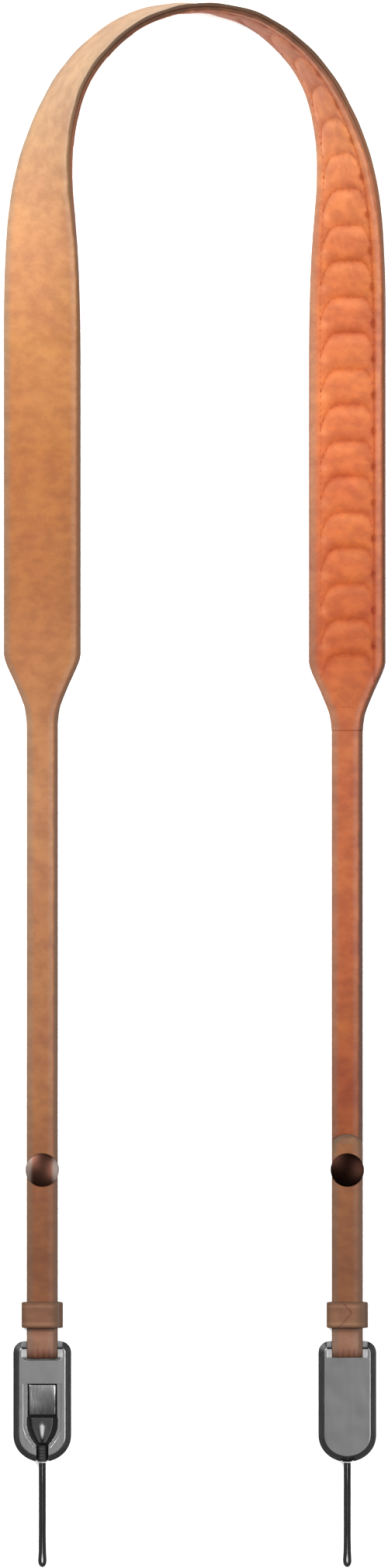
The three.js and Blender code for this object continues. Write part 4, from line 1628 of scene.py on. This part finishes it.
def build_ferrule(side: Side, finishes: Finishes) -> bpy.types.Object:
    """One ferrule: a black sleeve with shallow rings."""
    node = f"cord_ferrule_{side.value}"
    low, high = box_of(node)
    middle = (low + high) / 2
    share = np.linspace(0, 1, 49)
    ends = np.sqrt(np.clip(1 - (1 - np.minimum(1, to_end(share) / 0.08)) ** 2, 0, 1))
    radius = (0.55 + 0.45 * ends) * (0.965 + 0.035 * np.cos(share * 34))
    angle = circle(32)
    half = (high - low) / 2
    x = middle[0] + half[0] * radius[:, None] * np.cos(angle)
    z = middle[2] + half[2] * radius[:, None] * np.sin(angle)
    y = np.broadcast_to((low[1] + (high[1] - low[1]) * share)[:, None], x.shape)
    points = np.stack([x, y, z], axis=-1)[:, ::-1]
    obj = grid_object(f"ferrule_{side.value}", Grid(points, {}), finishes.ferrule)
    return piece(obj, "ferrule_rubber", node)


# Snaps


def build_snap(side: Side, part: str, finishes: Finishes) -> bpy.types.Object:
    """One snap cap or back: a domed disc with a rolled rim, lying against the leather.

    Args:
        side: the leg.
        part: "cap" for the grain side's, "back" for the other.
        finishes: the materials.

    Returns:
        The piece.
    """
    node = f"snap_{part}_{side.value}"
    low, high = box_of(node)
    middle = (low + high) / 2
    faces_up = (part == "cap") != side.turned_over
    radius = (high[0] - low[0]) / 2
    profile = catmull_rom(np.array(CAP_PROFILE, float), 5)
    angle = circle(72)
    way = 1 if faces_up else -1
    base = (high[2] if faces_up else low[2]) - way * CAP_RISE
    share, height = profile[1:, 0], profile[1:, 1]
    x = middle[0] + radius * share[:, None] * np.cos(angle) * way
    y = middle[1] + radius * share[:, None] * np.sin(angle)
    z = np.broadcast_to((base + way * CAP_RISE * height)[:, None], x.shape)
    points = np.stack([x, y, z], axis=-1)[::-1]
    # Painted reflection on the cap's left and right sides, whose strength is set per leg.
    sideways = np.abs(points[..., 0] - middle[0]) / radius
    flank = smooth(0.5, 0.85, sideways) * CAP_REFLECTION_PAINT[side]
    grid = Grid(points, {"flank": flank, "deep": np.full_like(flank, float(side.turned_over))})
    obj = add_object(f"snap_{part}_{side.value}_cap", grid.mesh(node), finishes.snap)
    return piece(obj, "snap_metal", node)


# Cords


def cord_route(exit_point: Vector) -> np.ndarray:
    """Points of one cord loop, from its exit round the eye and back, in millimetres."""
    x, y = exit_point.x / MM, exit_point.y / MM
    out = np.array([(x + across, y - down, height) for across, down, height in CORD_ROUTE])
    back = out[-2::-1].copy()
    back[:, 0] = 2 * x - back[:, 0]
    return catmull_rom(np.vstack([out, back]), 16)


def even_path(points: np.ndarray, step: float) -> np.ndarray:
    """The same path with evenly spaced points."""
    length = np.concatenate([[0], np.cumsum(np.linalg.norm(np.diff(points, axis=0), axis=1))])
    at = np.linspace(0, length[-1], max(2, int(length[-1] / step)))
    return np.stack([np.interp(at, length, column) for column in points.T], axis=1)


def build_cord(side: Side, finishes: Finishes) -> bpy.types.Object:
    """One cord loop: a braided cord that goes out and comes back beside itself."""
    node = f"cord_loop_{side.value}"
    low, high = box_of(node)
    start = Vector(((low[0] + high[0]) / 2, high[1], BAR_MIDDLE)) * MM
    path = even_path(cord_route(start), CORD_STEP)
    ahead = unit(np.gradient(path, axis=0))
    side_way = unit(np.cross(ahead, np.array([0.0, 0.0, 1.0])))
    over = np.cross(side_way, ahead)
    angle = circle(CORD_CORNERS)
    twist = np.arange(len(path))[:, None] * CORD_STEP * 2 * np.pi / BRAID_TURN
    braid = np.abs(np.sin(3 * angle + twist) * np.sin(3 * angle - twist)) ** 0.6
    radius = CORD_DIAMETER / 2 * (0.99 + 0.03 * braid)
    ring = radius[..., None] * (
        np.cos(angle)[None, :, None] * side_way[:, None] + np.sin(angle)[None, :, None] * over[:, None]
    )
    # Painted shade in the grooves between the braid's strands.
    grid = Grid(path[:, None] + ring, {"hollow": 1 - braid})
    obj = grid_object(f"cord_{side.value}", grid, finishes.cord)
    piece(obj, "cord_fabric", node)
    return obj


# Stage


@dataclass(frozen=True)
class View:
    """The camera: straight above, with the photograph's frame.

    Attributes:
        middle: the point of the floor at the frame's middle, in metres.
        tall: height of the frame over the floor, in metres.
        distance: of the camera over the floor.
    """

    middle: tuple[float, float]
    tall: float
    distance: float


PHOTO_VIEW = View(
    middle=(
        (FRAME_WIDE / 2 - MIDDLE_PIXEL_X) * MM_PER_PIXEL * MM,
        (MIDDLE_PIXEL_Y - FRAME_TALL / 2) * MM_PER_PIXEL * MM,
    ),
    tall=FRAME_TALL * MM_PER_PIXEL * MM,
    distance=6.0,
)


def add_camera(view: View) -> bpy.types.Object:
    """Puts the camera straight over the strap."""
    data = bpy.data.cameras.new("camera")
    data.sensor_fit = "VERTICAL"
    data.sensor_height = 36
    data.lens = data.sensor_height * view.distance / view.tall
    data.clip_end = 40
    camera = bpy.data.objects.new("camera", data)
    camera.location = (*view.middle, view.distance)
    bpy.context.scene.collection.objects.link(camera)
    bpy.context.scene.camera = camera
    return camera


@dataclass(frozen=True)
class Softbox:
    """A square lamp that looks at the strap.

    Attributes:
        name: of the lamp.
        place: its place in metres.
        size: length of its side.
        power: in watts.
        colour: of its light.
    """

    name: str
    place: tuple[float, float, float]
    size: float
    power: float
    colour: tuple[float, float, float] = (1.0, 1.0, 1.0)


SOFTBOXES = (
    Softbox("key", (-1.6, 1.3, 2.9), 1.6, 168, (1.0, 0.985, 0.96)),
    Softbox("right", (1.5, -0.1, 3.0), 1.6, 118),
    Softbox("top", (-0.75, 0.35, 3.4), 0.5, 10),
)
SKY = ((0.0, 0.09), (0.45, 0.11), (0.8, 0.24), (0.95, 0.38), (1.0, 0.38))


def add_lights() -> None:
    """Soft studio lamps and a dome that is dark near the horizon and pale overhead."""
    for box in SOFTBOXES:
        data = bpy.data.lights.new(box.name, "AREA")
        data.shape = "SQUARE"
        data.size = box.size
        data.energy = box.power
        data.color = box.colour
        lamp = bpy.data.objects.new(box.name, data)
        lamp.location = box.place
        lamp.rotation_euler = (-Vector(box.place)).to_track_quat("-Z", "Y").to_euler()
        bpy.context.scene.collection.objects.link(lamp)
    world = bpy.data.worlds.new("studio")
    world.use_nodes = True
    tree = world.node_tree
    place = tree.nodes.new("ShaderNodeTexCoord")
    height = tree.nodes.new("ShaderNodeSeparateXYZ")
    ramp = tree.nodes.new("ShaderNodeValToRGB")
    while len(ramp.color_ramp.elements) < len(SKY):
        ramp.color_ramp.elements.new(0.5)
    for element, (spot, level) in zip(ramp.color_ramp.elements, SKY):
        element.position = spot
        element.color = (level, level, level, 1)
    tree.links.new(place.outputs["Generated"], height.inputs[0])
    tree.links.new(height.outputs["Z"], ramp.inputs[0])
    tree.links.new(ramp.outputs[0], tree.nodes["Background"].inputs["Color"])
    bpy.context.scene.world = world


def add_floor(finishes: Finishes) -> None:
    """A plain pale floor, which is not part of the object."""
    mesh = bpy.data.meshes.new("floor")
    corners = [(FLOOR_REACH * x, FLOOR_REACH * y, 0) for x, y in ((-1, -1), (1, -1), (1, 1), (-1, 1))]
    mesh.from_pydata(corners, [], [(0, 1, 2, 3)])
    add_object("floor", mesh, finishes.floor)


def set_colours() -> None:
    """Plain display colours, so that the white floor stays white."""
    settings = bpy.context.scene.view_settings
    settings.view_transform = "Standard"
    settings.look = "None"


@dataclass
class StrapEnd:
    """Hardware of one leg."""

    side: Side
    finishes: Finishes

    def build(self) -> list[bpy.types.Object]:
        """Makes every piece of this end but its cord."""
        return [
            build_buckle(self.side, self.finishes),
            build_tab(self.side, self.finishes),
            build_anchor(self.side, self.finishes),
            build_ferrule(self.side, self.finishes),
            build_keeper(self.side, self.finishes),
            build_snap(self.side, "cap", self.finishes),
            build_snap(self.side, "back", self.finishes),
        ]


@dataclass
class Leather:
    """The long band and the neck pad's lining, with its stitching."""

    line: MiddleLine
    finishes: Finishes

    def build(self) -> list[bpy.types.Object]:
        """Makes the band, the lining and its stitches."""
        quilting = make_quilting(self.line)
        return [
            build_band(self.line, quilting, self.finishes),
            build_lining(self.line, quilting, self.finishes),
            build_quilt_stitches(self.line, quilting, self.finishes),
            build_tacks(self.line, quilting, self.finishes),
        ]


def main() -> None:
    """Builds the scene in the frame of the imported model."""
    logging.basicConfig(level=logging.INFO, format="%(message)s")
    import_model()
    finishes = make_finishes()
    add_camera(PHOTO_VIEW)
    for side in Side:
        build_cord(side, finishes)
    Leather(MiddleLine(), finishes).build()
    for side in Side:
        StrapEnd(side, finishes).build()
    add_floor(finishes)
    add_lights()
    set_colours()


if __name__ == "__main__":
    main()
